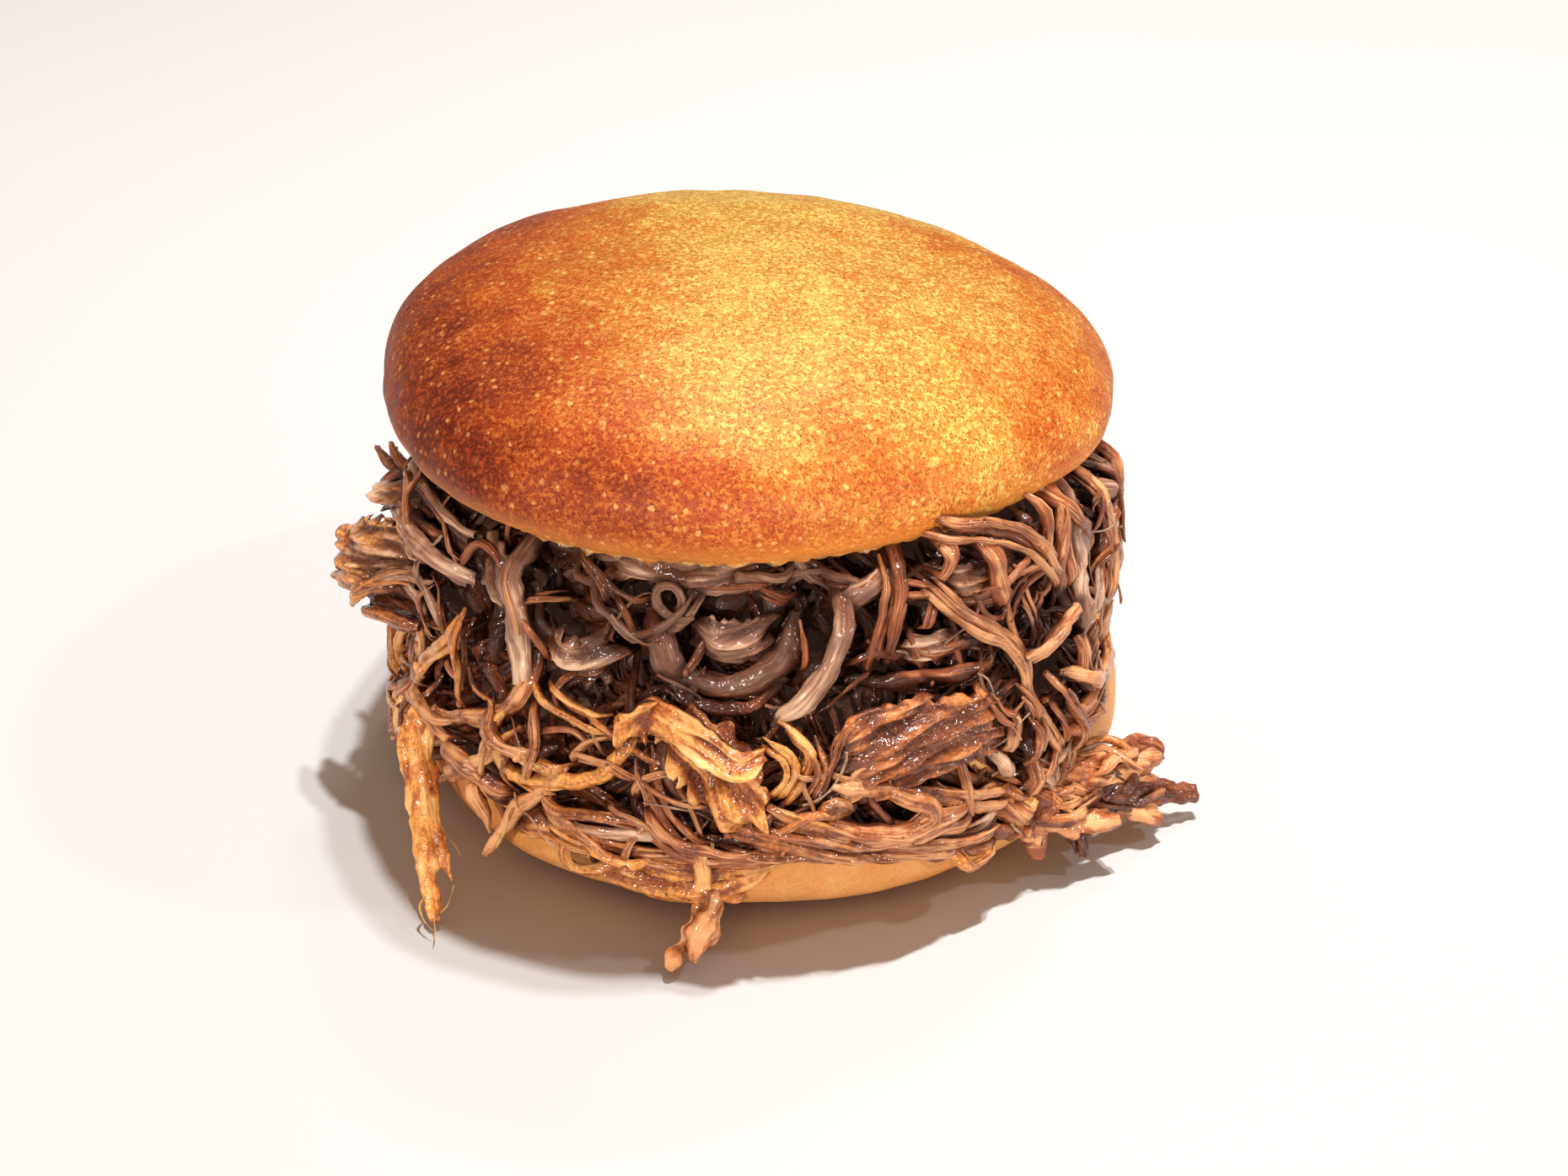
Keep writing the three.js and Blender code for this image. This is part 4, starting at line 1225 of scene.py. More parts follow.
def sweep_tree(name, material):
    tree, start = shape_tree(name, {
        "Sides": 9,
        "Flatness": 0.72,
        "Ridge Depth": 0.09,
        "Ridges": 1.8,
        "Knot Size": 0.22,
        "Pitting": 0.0001,
    })

    def unevenness(place, detail, low, high, to_low):
        """Noise over a place on the strand, from to_low in its hollows to 1 on its crests."""
        value = noise(tree, place, 1.0, detail)
        return spread(tree, value, low, high, to_low, 1.0, kind="LINEAR")

    def store(geometry, label, value):
        settings = {"data_type": "FLOAT_VECTOR", "domain": "POINT"}
        inputs = {"Geometry": geometry, "Name": label, "Value": value}
        return node(tree, "GeometryNodeStoreNamedAttribute", inputs, **settings).outputs["Geometry"]

    lines = node(tree, "GeometryNodeMeshToCurve", {"Mesh": start["Geometry"]}).outputs["Curve"]
    facing = {"Curve": lines, "Normal": named(tree, "facing", "FLOAT_VECTOR")}
    lines = node(tree, "GeometryNodeSetCurveNormal", facing, mode="FREE").outputs["Curve"]
    circle = {"Resolution": start["Sides"], "Radius": 0.5}
    ring = node(tree, "GeometryNodeCurvePrimitiveCircle", circle).outputs["Curve"]
    where = node(tree, "GeometryNodeInputPosition").outputs["Position"]
    ring = store(ring, "round", where)
    squeeze = {"X": start["Flatness"], "Y": 1.0, "Z": 1.0}
    squeeze = node(tree, "ShaderNodeCombineXYZ", squeeze).outputs["Vector"]
    flattened = vector(tree, "MULTIPLY", where, squeeze)
    ring = shaped(tree, "GeometryNodeSetPosition", ring, Position=flattened)
    swept = {"Curve": lines, "Profile Curve": ring, "Scale": named(tree, "width"), "Fill Caps": True}
    solid = node(tree, "GeometryNodeCurveToMesh", swept).outputs["Mesh"]

    turn = scaled(tree, named(tree, "round", "FLOAT_VECTOR"), start["Ridges"])
    along = node(tree, "ShaderNodeCombineXYZ", {"Z": named(tree, "along")}).outputs["Vector"]
    pick = scaled(tree, (31.0, 17.0, 53.0), named(tree, "pick"))
    grain = vector(tree, "ADD", scaled(tree, turn, 2.0), scaled(tree, along, 0.12))
    grain = vector(tree, "ADD", grain, pick)
    solid = store(solid, "grain", grain)
    ridge = times(tree, unevenness(grain, 1.5, 0.3, 0.7, -1.0), start["Ridge Depth"])
    lumps = vector(tree, "ADD", vector(tree, "ADD", turn, scaled(tree, along, 0.22)), pick)
    knot = times(tree, unevenness(lumps, 2.0, 0.25, 0.75, -0.8), start["Knot Size"])
    rise = times(tree, plus(tree, ridge, knot), named(tree, "width"))
    where = node(tree, "GeometryNodeInputPosition").outputs["Position"]
    pitted = times(tree, arithmetic(tree, "SUBTRACT", noise(tree, where, 620.0), 0.5), 4.0)
    rise = plus(tree, rise, times(tree, pitted, start["Pitting"]))
    normal = node(tree, "GeometryNodeInputNormal").outputs["Normal"]
    solid = shaped(tree, "GeometryNodeSetPosition", solid, Offset=scaled(tree, normal, rise))
    finish_tree(tree, solid, material)
    return tree


def carry(name, mesh):
    """A passing object that carries a mesh while modifiers work on it."""
    carrier = bpy.data.objects.new(name, mesh)
    bpy.context.scene.collection.objects.link(carrier)
    return carrier


def plain_mesh(carrier, name):
    """The evaluated object as a plain mesh; the carrier and its modifiers are dropped."""
    evaluated = carrier.evaluated_get(bpy.context.evaluated_depsgraph_get())
    made = bpy.data.meshes.new_from_object(evaluated)
    made.name = name
    bpy.data.objects.remove(carrier)
    return made


def vector_attribute(mesh, name, values):
    made = mesh.attributes.new(name, "FLOAT_VECTOR", "POINT")
    made.data.foreach_set("vector", np.asarray(values, dtype=np.float32).ravel())


def sweep(name, fibres, material, sizes=None):
    """A plain mesh of swept fibres. Lines are in mm, and the mesh is in metres."""
    guide = bpy.data.meshes.new(name + "_lines")
    starts = np.cumsum([0] + [len(one.line) for one in fibres])
    edges = [(i, i + 1) for a, b in zip(starts[:-1], starts[1:]) for i in range(a, b - 1)]
    guide.from_pydata((np.concatenate([one.line for one in fibres]) * MM).tolist(), edges, [])
    runs = [np.linalg.norm(np.diff(one.line, axis=0), axis=1) for one in fibres]
    point_attribute(guide, "width", np.concatenate([one.widths for one in fibres]) * MM)
    point_attribute(guide, "along", np.concatenate([np.concatenate([[0], np.cumsum(run)]) for run in runs]))
    for label in ("tone", "glaze", "pick"):
        values = [getattr(one, label) + np.zeros(len(one.line)) for one in fibres]
        point_attribute(guide, label, np.concatenate(values))
    vector_attribute(guide, "facing", np.concatenate([one.facing for one in fibres]))
    carrier = carry(name + "_lines", guide)
    modifier = carrier.modifiers.new("sweep", "NODES")
    modifier.node_group = sweep_tree(name + "_sweep", material)
    for item in modifier.node_group.interface.items_tree:
        if item.in_out == "INPUT" and item.name in (sizes or {}):
            modifier[item.identifier] = sizes[item.name]
    return plain_mesh(carrier, name)


SAUCE_HOLLOW = (0.66, 0.56, 0.48, 1)
SAUCE_GRAIN = (1.22, 1.22, 1.2, 1)
GAP_SHADE = (0.42, 0.34, 0.30, 1)
CHAR_SPECK = (0.035, 0.012, 0.005, 1)


def pork_material(name, pale, warm, brown, sauce_light, sauce_deep, extra=None):
    """Cooked pork fibre, wet with small glints. Its crests are painted paler, a painted highlight, and its
    creases darker, painted shade, where more sauce also gathers.
    """
    made, tree, shader = new_material(name)
    place = object_place(tree)
    grain = attribute(tree, "grain", "Vector")
    tone, glaze, crease = (attribute(tree, label) for label in ("tone", "glaze", "crease"))
    streak = noise(tree, grain, 1.6, 3.0, 0.6)
    smear = noise(tree, grain, 0.8, 2.0, 0.5)
    patch = noise(tree, place, 150.0, 2.0, 0.5)
    pool = noise(tree, place, 360.0, 2.0, 0.55)
    grit = noise(tree, place, 1500.0, 2.0, 0.6)
    # The crease makes crests paler, a painted highlight, and creases darker, painted shade.
    meat_tone = plus(tree, tone, swing(tree, streak, -0.3, 0.3), swing(tree, patch, -0.22, 0.2),
                     spread(tree, crease, -0.1, 0.75, -0.14, 0.5))
    meat = colour_mix(tree, spread(tree, meat_tone, 0.0, 0.5), pale, warm)
    meat = colour_mix(tree, spread(tree, meat_tone, 0.4, 1.05), meat, brown)
    depth = plus(tree, times(tree, tone, 0.3), smear, swing(tree, pool, -0.1, 0.1), times(tree, crease, 0.25))
    sauce = colour_mix(tree, spread(tree, depth, 0.42, 0.86), sauce_light, sauce_deep)
    cover = plus(tree, glaze, swing(tree, smear, -0.3, 0.3), swing(tree, patch, -0.35, 0.25),
                 swing(tree, pool, -0.16, 0.16), times(tree, crease, 0.35))
    cover = spread(tree, cover, 0.15, 0.95, 0.0, 0.95)
    grains = colour_mix(tree, spread(tree, grit, 0.35, 0.65), SAUCE_HOLLOW, SAUCE_GRAIN)
    sauce = colour_mix(tree, 1.0, sauce, grains, "MULTIPLY")
    colour = colour_mix(tree, cover, meat, sauce)
    # Painted shade: darker again in the creases.
    dark = colour_mix(tree, 1.0, colour, GAP_SHADE, "MULTIPLY")
    colour = colour_mix(tree, spread(tree, crease, 0.0, 0.85), colour, dark)
    specks = spread(tree, cells(tree, place, 260.0)["Distance"], 0.05, 0.1, 0.8, 0.0)
    shape = bump(tree, streak, 0.85, 0.0005)
    shape = bump(tree, grit, times(tree, cover, 0.9), 0.00025, shape)
    film = bump(tree, noise(tree, place, 300.0, 0.0), 0.9, 0.0008)
    sparkle = plus(tree, times(tree, cover, 0.6), 0.4)
    film = bump(tree, noise(tree, place, 1150.0, 0.0), sparkle, 0.00042, film)
    fill_inputs(tree, shader, {
        "Base Color": colour_mix(tree, specks, colour, CHAR_SPECK),
        "Roughness": spread(tree, pool, 0.35, 0.65, 0.35, 0.6),
        "Specular IOR Level": 0.3,
        "Coat Weight": spread(tree, cover, 0.0, 0.7, 0.35, 1.0),
        "Coat Roughness": 0.16,
        "Coat IOR": 1.45,
        "Subsurface Weight": 0.12,
        "Subsurface Radius": (1.0, 0.4, 0.25),
        "Subsurface Scale": 0.001,
        "Normal": shape,
        "Coat Normal": film,
        **(extra or {}),
    })
    return made


pale_meat = pork_material(
    "pale_meat",
    pale=(0.76, 0.47, 0.30, 1),
    warm=(0.38, 0.185, 0.115, 1),
    brown=(0.15, 0.062, 0.038, 1),
    sauce_light=(0.72, 0.30, 0.085, 1),
    sauce_deep=(0.25, 0.065, 0.014, 1),
)
sauced_meat = pork_material(
    "sauced_meat",
    pale=(0.95, 0.52, 0.185, 1),
    warm=(0.70, 0.22, 0.052, 1),
    brown=(0.20, 0.052, 0.016, 1),
    sauce_light=(0.94, 0.38, 0.075, 1),
    sauce_deep=(0.42, 0.095, 0.014, 1),
)
browned_meat = pork_material(
    "browned_meat",
    pale=(0.80, 0.38, 0.165, 1),
    warm=(0.40, 0.108, 0.036, 1),
    brown=(0.11, 0.029, 0.012, 1),
    sauce_light=(0.64, 0.20, 0.040, 1),
    sauce_deep=(0.18, 0.038, 0.008, 1),
)
# Meat of the strands that lie deep in the heap: a darker copy, painted shade, with the painted glow.
inner_meat = pork_material(
    "inner_meat",
    pale=(0.60, 0.30, 0.19, 1),
    warm=(0.38, 0.165, 0.10, 1),
    brown=(0.20, 0.085, 0.055, 1),
    sauce_light=(0.28, 0.085, 0.022, 1),
    sauce_deep=(0.10, 0.026, 0.007, 1),
    extra=PAINTED_GLOW,
)
MEAT_OF = {
    "shreds_pale": pale_meat,
    "shreds_thin": pale_meat,
    "hairs": pale_meat,
    "shreds_golden": sauced_meat,
    "threads_golden": sauced_meat,
    "shreds_brown": browned_meat,
    "shreds_tan": browned_meat,
    "threads": browned_meat,
    "shreds_deep": inner_meat,
}
SWEEP_SIZES = {
    "shreds_deep": {"Sides": 7},
    "threads": {"Sides": 6, "Flatness": 0.85},
    "hairs": {"Sides": 5, "Flatness": 1.0},
}
for kind in sorted(shreds):
    piece(kind, sweep(kind, shreds[kind], MEAT_OF[kind], SWEEP_SIZES.get(kind)), [], "pork", "pork_heap")

# ---- Sheets of meat: the folded flap in front, and the slab to the right of it ----
# Broad pieces torn off the muscle in one: fibres side by side in a thin sheet with ragged ends, which
# folds over itself where it is loose. Each is a closed shell.
SHEET_STEP = 0.5


def meat_attributes(mesh, grain, tone, glaze):
    """What the meat's colour reads: where on the fibres each point lies, how browned and how sauced it is."""
    vector_attribute(mesh, "grain", grain)
    point_attribute(mesh, "tone", np.clip(tone, 0, 1) + np.zeros(len(grain)))
    point_attribute(mesh, "glaze", np.clip(glaze, 0, 1) + np.zeros(len(grain)))


def sheet(seed, controls, thickness, fibre_depth, fold_depth, tone, glaze, light_edge=0.0, on_roll=False):
    """Points (mm) of a closed sheet, and its colours. Controls are (bearing, height, stand-off, width)."""
    fibres, folds = Ripple(seed, 1.4, size=2), Ripple(seed + 1, 5.0, size=2)
    ragged = Ripple(seed + 2, 3.0, size=1)
    start = [(math.radians(b) * FIELD_RADIUS, z, proud, width) for b, z, proud, width in controls]
    line, run = through(start, SHEET_STEP)
    way = np.gradient(line[:, :2], axis=0)
    way /= np.linalg.norm(way, axis=1, keepdims=True)
    count = int(max(c[3] for c in controls) / SHEET_STEP) + 2
    v = np.linspace(-1, 1, count)
    around = np.concatenate([v, v[::-1][1:-1]])
    upper = np.concatenate([np.ones(count), -np.ones(count - 2)])
    rings, grains, tones = [], [], []
    for k, ((u, z, proud, width), (du, dz)) in enumerate(zip(line, way)):
        end = 2 * run[k] / run[-1] - 1
        taper = 1 - 0.45 * smooth(abs(end), 0.75, 1.0)
        across = around * width / 2 * taper * (1 + 0.10 * ragged(np.array([[run[k]]]))[0])
        spot = np.stack([across, 0.12 * run[k] + 0 * across], -1)
        slide = 0.9 * end**3 * ragged(spot[:, :1] + 20)
        bend = np.stack([across, 0.4 * run[k] + 0 * across], -1)
        top = fibre_depth * fibres(spot) + fold_depth * folds(bend) - 0.25 * thickness * around**2
        body = thickness * np.sqrt(np.maximum(0.04, 1 - around**2))
        body *= 1 - 0.6 * smooth(abs(end), 0.85, 1.0)
        level = z + across * du + slide * dz
        bearing = np.degrees((u - across * dz + slide * du) / FIELD_RADIUS)
        base = roll_side(bearing, np.maximum(level, 3.0)) if on_roll else heap_wall(bearing, level)
        radius = base + proud + top + np.where(upper > 0, 0.0, -body)
        rings.append(heap_point(bearing, level, radius))
        grains.append(np.stack([1.7 * across, 0.9 * upper, 0.16 * run[k] + 0 * across], -1) + seed)
        # Raised folds and fibres are painted paler, a painted highlight, and their hollows darker.
        ridge_light = 0.2 * folds(bend) + 0.3 * fibres(spot)
        tones.append(tone - light_edge * smooth(around, 0.55, 0.95) - ridge_light)
    grains = np.concatenate(grains + [grains[0][:1], grains[-1][:1]])
    tones = np.concatenate(tones + [[tone], [tone]])
    return rings, grains, tones, glaze + 0 * tones


def sheet_piece(name, meat, sheets):
    """One mesh of several sheets."""
    points, faces, grains, tones, glazes = [], [], [], [], []
    for rings, grain, tone, glaze in sheets:
        made, own = closed_rings("part", rings)
        at = sum(len(p) for p in points)
        own_faces = [tuple(at + i for i in face.vertices) for face in made.polygons]
        a, b, c = (np.array([own[face.vertices[i]] for face in made.polygons]) for i in (0, 1, 2))
        inside_out = np.einsum("ij,ij->i", a, np.cross(b, c)).sum() < 0
        faces += [face[::-1] for face in own_faces] if inside_out else own_faces
        points.append(own)
        grains.append(grain)
        tones.append(tone)
        glazes.append(glaze)
        bpy.data.meshes.remove(made)
    mesh = bpy.data.meshes.new(name)
    mesh.from_pydata((np.concatenate(points) * MM).tolist(), [], faces)
    mesh.polygons.foreach_set("use_smooth", [True] * len(mesh.polygons))
    meat_attributes(mesh, np.concatenate(grains), np.concatenate(tones), np.concatenate(glazes))
    piece(name, mesh, [meat], "pork", "pork_heap")


sheet_piece(
    "folded_flap",
    sauced_meat,
    [
        sheet(101, [(-12.5, 36, 0.5, 7), (-8, 34.5, 1.8, 9), (-4.5, 31.5, 2.6, 11), (-2, 27.5, 2.8, 9),
              (0.3, 23.2, 2.6, 5)], 1.8, 0.44, 1.0, 0.42, 0.85),
        sheet(107, [(-16, 35.4, 1.5, 4), (-14, 37.6, 3.2, 5), (-10, 37.6, 4.0, 4.5),
              (-5.5, 35.4, 4.4, 3.6), (-1.5, 33.8, 4.6, 3.0), (2.4, 34.6, 4.2, 2.4)], 2.2, 0.36, 0.6,
              0.16, 0.6),
        sheet(110, [(-17, 33.6, 1.2, 4), (-16.5, 36.4, 3.4, 5), (-13.5, 38.4, 3.2, 4.4)], 2.0, 0.3, 0.7,
              0.3, 0.9),
    ],
)
sheet_piece(
    "torn_slab",
    browned_meat,
    [
        sheet(121, [(10, 27.6, 0.4, 6), (16, 30.2, 1.6, 8), (24, 32.2, 2.0, 9.5), (32, 32.6, 1.8, 9),
              (38.5, 31.4, 0.8, 6)], 3.0, 0.42, 0.3, 0.9, 0.9, light_edge=0.4),
        sheet(124, [(11, 25.6, 0.8, 4), (18, 27.4, 1.6, 5), (26, 28.8, 1.8, 5), (34, 28.8, 1.2, 4.5),
              (39, 27, 0.6, 3)], 2.2, 0.4, 0.3, 0.8, 0.9),
        sheet(127, [(11.5, 33, 0.8, 4), (15, 35.4, 1.6, 4), (21, 36.6, 1.6, 3), (28, 36.4, 1.2, 3)],
              2.0, 0.4, 0.4, 0.65, 1.0),
    ],
)
sheet_piece(
    "skins_under_the_roll",
    pale_meat,
    [
        sheet(141, [(-50, 52, -3.5, 5), (-46, 50, -2.2, 8), (-41.5, 47.5, -2.2, 8), (-37, 47, -4, 5)],
              1.8, 0.4, 0.6, 1.0, 0.2),
        sheet(144, [(-38, 43.5, -3.5, 4), (-33, 41.5, -1.4, 6.5), (-27.5, 40.5, -1.2, 6.5),
              (-22, 42, -4, 5)], 1.6, 0.4, 0.6, 0.8, 0.2),
        sheet(147, [(-24, 56, -4, 3), (-16, 55.5, -2.6, 3.6), (-8, 56, -2.6, 3.6), (1, 57, -4, 3)], 1.6,
              0.4, 0.5, 1.0, 0.3),
        sheet(150, [(-10, 47, -4, 5), (-5, 46, -2.2, 7), (0, 46.5, -2.2, 6), (4, 48, -4, 4)], 2.0, 0.3,
              0.5, 1.1, 0.2),
        sheet(153, [(27, 53, -3, 4), (32, 51.5, -1.0, 6), (38, 50.5, -1.0, 6), (43, 50, -3, 4)], 2.2,
              0.4, 0.5, 0.8, 0.4),
        sheet(156, [(22, 43.5, -3, 3), (30, 43, -1.2, 5), (36, 41.5, -1.4, 4), (41, 40, -3, 3)], 1.6,
              0.4, 0.5, 1.0, 0.4),
        sheet(159, [(-62, 43, -2, 6), (-69, 43, 1.0, 8), (-75, 41.5, 4.0, 7), (-80, 40.5, 6.5, 4)], 1.6,
              0.45, 0.9, 0.55, 0.8),
        sheet(162, [(-62, 36, -2, 5), (-69, 37, 1.0, 7), (-75, 37, 4.5, 6), (-79, 36, 7.0, 4)], 1.6,
              0.45, 0.9, 0.6, 0.8),
        sheet(165, [(-66, 50, -3, 5), (-72, 49, -0.5, 6), (-78, 47, 1.5, 5), (-83, 45, 3.0, 3)], 1.6,
              0.35, 0.8, 0.6, 0.5),
    ],
)
sheet_piece(
    "skin_on_the_rim",
    sauced_meat,
    [
        sheet(131, [(-40, 13, 1.6, 3.5), (-34, 14.2, 2.4, 5), (-28, 14.4, 2.6, 5), (-22, 15.0, 2.4, 4)],
              1.4, 0.22, 0.35, 0.25, 0.6, on_roll=True),
        sheet(134, [(-23, 9.6, 0.9, 3), (-17, 8.6, 1.3, 4.6), (-10, 8.8, 1.4, 5), (-4, 10.0, 1.5, 4.4),
              (1, 12.6, 1.4, 3)], 1.4, 0.12, 0.45, 0.5, 1.0, on_roll=True),
        sheet(137, [(-20, 13.6, 1.6, 3.6), (-12, 13.4, 1.8, 4), (-4, 14.2, 1.8, 4), (4, 15, 1.8, 3)],
              1.6, 0.22, 0.4, 0.45, 0.95, on_roll=True),
    ],
)

# ---- Bits of meat ----
# Small lumps of meat that broke off while it was pulled. Each is a rough ball of its own shape, stuck by
# its juice on the strands and between them.
BITS = 500
bit_places, bit_sizes, bit_tones = [], [], []
for _ in range(BITS):
    parent = parents[draw.integers(len(parents))]
    k = draw.integers(len(parent.line))
    width = parent.widths[k]
    bit_places.append(parent.line[k] + parent.facing[k] * 0.3 * width + draw.normal(0, 0.18, 3) * width)
    bit_sizes.append(draw.uniform(0.3, 0.8))
    bit_tones.append(parent.tone[k] + draw.normal(0, 0.15))


def bits_tree(material):
    """Sets a lumpy ball of its own turn and stretch on each point, and roughens it."""
    tree, start = shape_tree("bits_of_meat", {"Lumpiness": 0.0009, "Lump Scale": 900.0})

    def at_random(low, high, seed):
        inputs = {"Min": low, "Max": high, "Seed": seed}
        return node(tree, "FunctionNodeRandomValue", inputs, data_type="FLOAT_VECTOR").outputs["Value"]

    ball = node(tree, "GeometryNodeMeshIcoSphere", {"Radius": 1.0, "Subdivisions": 2}).outputs["Mesh"]
    turn = at_random((0.0, 0.0, 0.0), (6.3, 6.3, 6.3), 3)
    placed = node(tree, "GeometryNodeInstanceOnPoints", {
        "Points": start["Geometry"],
        "Instance": ball,
        "Rotation": node(tree, "FunctionNodeEulerToRotation", {"Euler": turn}).outputs["Rotation"],
        "Scale": scaled(tree, at_random((0.7, 0.5, 0.8), (1.2, 0.9, 2.4), 5), named(tree, "size")),
    }).outputs["Instances"]
    solid = shaped(tree, "GeometryNodeRealizeInstances", placed)
    where = node(tree, "GeometryNodeInputPosition").outputs["Position"]
    bumps = arithmetic(tree, "SUBTRACT", noise(tree, where, start["Lump Scale"]), 0.5)
    normal = node(tree, "GeometryNodeInputNormal").outputs["Normal"]
    away = scaled(tree, normal, times(tree, bumps, start["Lumpiness"]))
    finish_tree(tree, shaped(tree, "GeometryNodeSetPosition", solid, Offset=away), material)
    return tree


def points_of(mesh):
    """The mesh's points in mm."""
    places = np.zeros(3 * len(mesh.vertices), dtype=np.float32)
    mesh.vertices.foreach_get("co", places)
    return places.reshape(-1, 3) / MM


guide = bpy.data.meshes.new("bit_places")
guide.from_pydata((np.array(bit_places) * MM).tolist(), [], [])
point_attribute(guide, "size", np.array(bit_sizes) * MM)
carrier = carry("bit_places", guide)
carrier.modifiers.new("bits", "NODES").node_group = bits_tree(browned_meat)
bits_mesh = plain_mesh(carrier, "bits_of_meat")
where = points_of(bits_mesh)
meat_attributes(bits_mesh, where * 0.6, np.repeat(bit_tones, len(where) // BITS), 0.6)
piece("bits_of_meat", bits_mesh, [], "pork", "pork_heap")

# ---- Creases ----
# Sauce runs down into the gaps of the tangle and stays there, and the gaps are also painted darker, as
# shade; the crests are painted paler, a painted highlight. Each point of the heap's meat notes how far it
# lies below the meat near it.
CREASE_CELL = 0.7


def blurred(field, steps):
    """The field (bearing, height) smoothed both ways; bearings wrap round."""
    reach = int(3 * steps)
    wrapped = np.concatenate([field[-reach:], field, field[:reach]])
    wrapped = np.apply_along_axis(gauss, 0, wrapped, steps)[reach:-reach]
    return np.apply_along_axis(gauss, 1, wrapped, steps)


def widened(field, steps):
    """The field's greatest value within some steps each way."""
    out = field
    for axis in (0, 1):
        held = out
        for shift in range(-steps, steps + 1):
            out = np.maximum(out, np.roll(held, shift, axis))
    return out


def note_creases(meshes, spread_out):
    """Writes each point's crease: 0 on a crest, up to 1 far below what lies round it."""
    groups = [points_of(mesh) for mesh in meshes]
    u, v, height = spread_out(np.concatenate(groups))
    column = ((u - u.min()) / CREASE_CELL).astype(int)
    row = ((v - v.min()) / CREASE_CELL).astype(int)
    outermost = np.full((column.max() + 1, row.max() + 1), np.percentile(height, 2))
    np.maximum.at(outermost, (column, row), height)
    near_top = blurred(widened(outermost, 1), 1.6)[column, row]
    wide_top = blurred(widened(outermost, 5), 4.0)[column, row]
    narrow_gap = 0.8 * smooth(near_top - height, 0.3, 2.6)
    wide_gap = 0.45 * smooth(wide_top - height, 3.5, 10.0)
    crease = 1 - (1 - narrow_gap) * (1 - wide_gap)
    ends = np.cumsum([len(group) for group in groups])[:-1]
    for mesh, values in zip(meshes, np.split(crease, ends)):
        point_attribute(mesh, "crease", values)


def off_the_heap(points):
    """The points spread out flat, as seen from the heap's axis: along, up, and out."""
    out = points[:, :2] - [HEAP_AXIS_X, 0]
    return np.arctan2(out[:, 0], -out[:, 1]) * FIELD_RADIUS, points[:, 2], np.hypot(out[:, 0], out[:, 1])


HEAP_MEAT = ("shreds", "threads", "hairs", "folded", "torn", "skin", "bits")
note_creases([m.data for m in filling.objects if m.name.startswith(HEAP_MEAT)], off_the_heap)

# ---- Shreds that reach the table ----
# Three loose ends have slipped out of the heap: a sauced strip that hangs over the rim on the left, a
# short shred in front, and a browned clump that lies on the table on the right. Their fibres are stuck
# together, so each is fused into one lumpy skin.
FUSE_GRAIN = 0.0004
EVENING_ROUNDS = 16
LEAST_HEIGHT = 0.15


def fused(name, fibres, reach, lump, grit_size, flow, tone, glaze, dark_from=None):
    """Fuses swept fibres into one closed, lumpy mesh with the colour attributes of the meat."""
    low, high = np.array(reach)
    for points, widths, *_ in fibres:
        points[:] = np.clip(points, low + 0.55 * widths[:, None], high - 0.5 * widths[:, None])
    swept = sweep(name, fibres, browned_meat, {"Knot Size": 0.12, "Ridge Depth": 0.14, "Sides": 12})
    carrier = carry(name + "_fibres", swept)
    remesh = carrier.modifiers.new("fuse", "REMESH")
    remesh.mode = "VOXEL"
    remesh.voxel_size = FUSE_GRAIN
    remesh.use_smooth_shade = True
    mesh = plain_mesh(carrier, name)
    mesh.materials.clear()
    count = len(mesh.vertices)
    where = points_of(mesh)
    normal = np.zeros(3 * count, dtype=np.float32)
    mesh.vertices.foreach_get("normal", normal)
    normal = normal.reshape(-1, 3)
    # Creases, for painted shade: how far each point lies below the evened surface.
    ends = np.zeros(2 * len(mesh.edges), dtype=np.int32)
    mesh.edges.foreach_get("vertices", ends)
    ends = ends.reshape(-1, 2)
    links = np.bincount(ends.ravel(), minlength=count)[:, None]
    evened = where.astype(float)
    for _ in range(EVENING_ROUNDS):
        total = np.zeros_like(evened)
        np.add.at(total, ends[:, 0], evened[ends[:, 1]])
        np.add.at(total, ends[:, 1], evened[ends[:, 0]])
        evened = 0.3 * evened + 0.7 * total / links
    hollow = np.einsum("ij,ij->i", evened - where, normal)
    point_attribute(mesh, "crease", 0.6 * smooth(hollow, -0.1, 0.32))
    lumps, grit, shades = Ripple(31, 4.0), Ripple(32, 1.6), Ripple(33, 6.0)
    grown = where + normal * (lump * lumps(where) + grit_size * grit(where))[:, None]
    grown[:, 2] = np.maximum(grown[:, 2], LEAST_HEIGHT)
    mesh.vertices.foreach_set("co", (grown * MM).ravel())
    flow = np.array(flow) / np.linalg.norm(flow)
    along = where @ flow
    rest = where - along[:, None] * flow
    grain = 0.7 * rest + 0.12 * along[:, None] * flow
    tone = tone + 0.16 * shades(where)
    if dark_from is not None:
        tone = tone + 0.9 * smooth(along, *dark_from)
    meat_attributes(mesh, grain, tone, glaze)
    return mesh


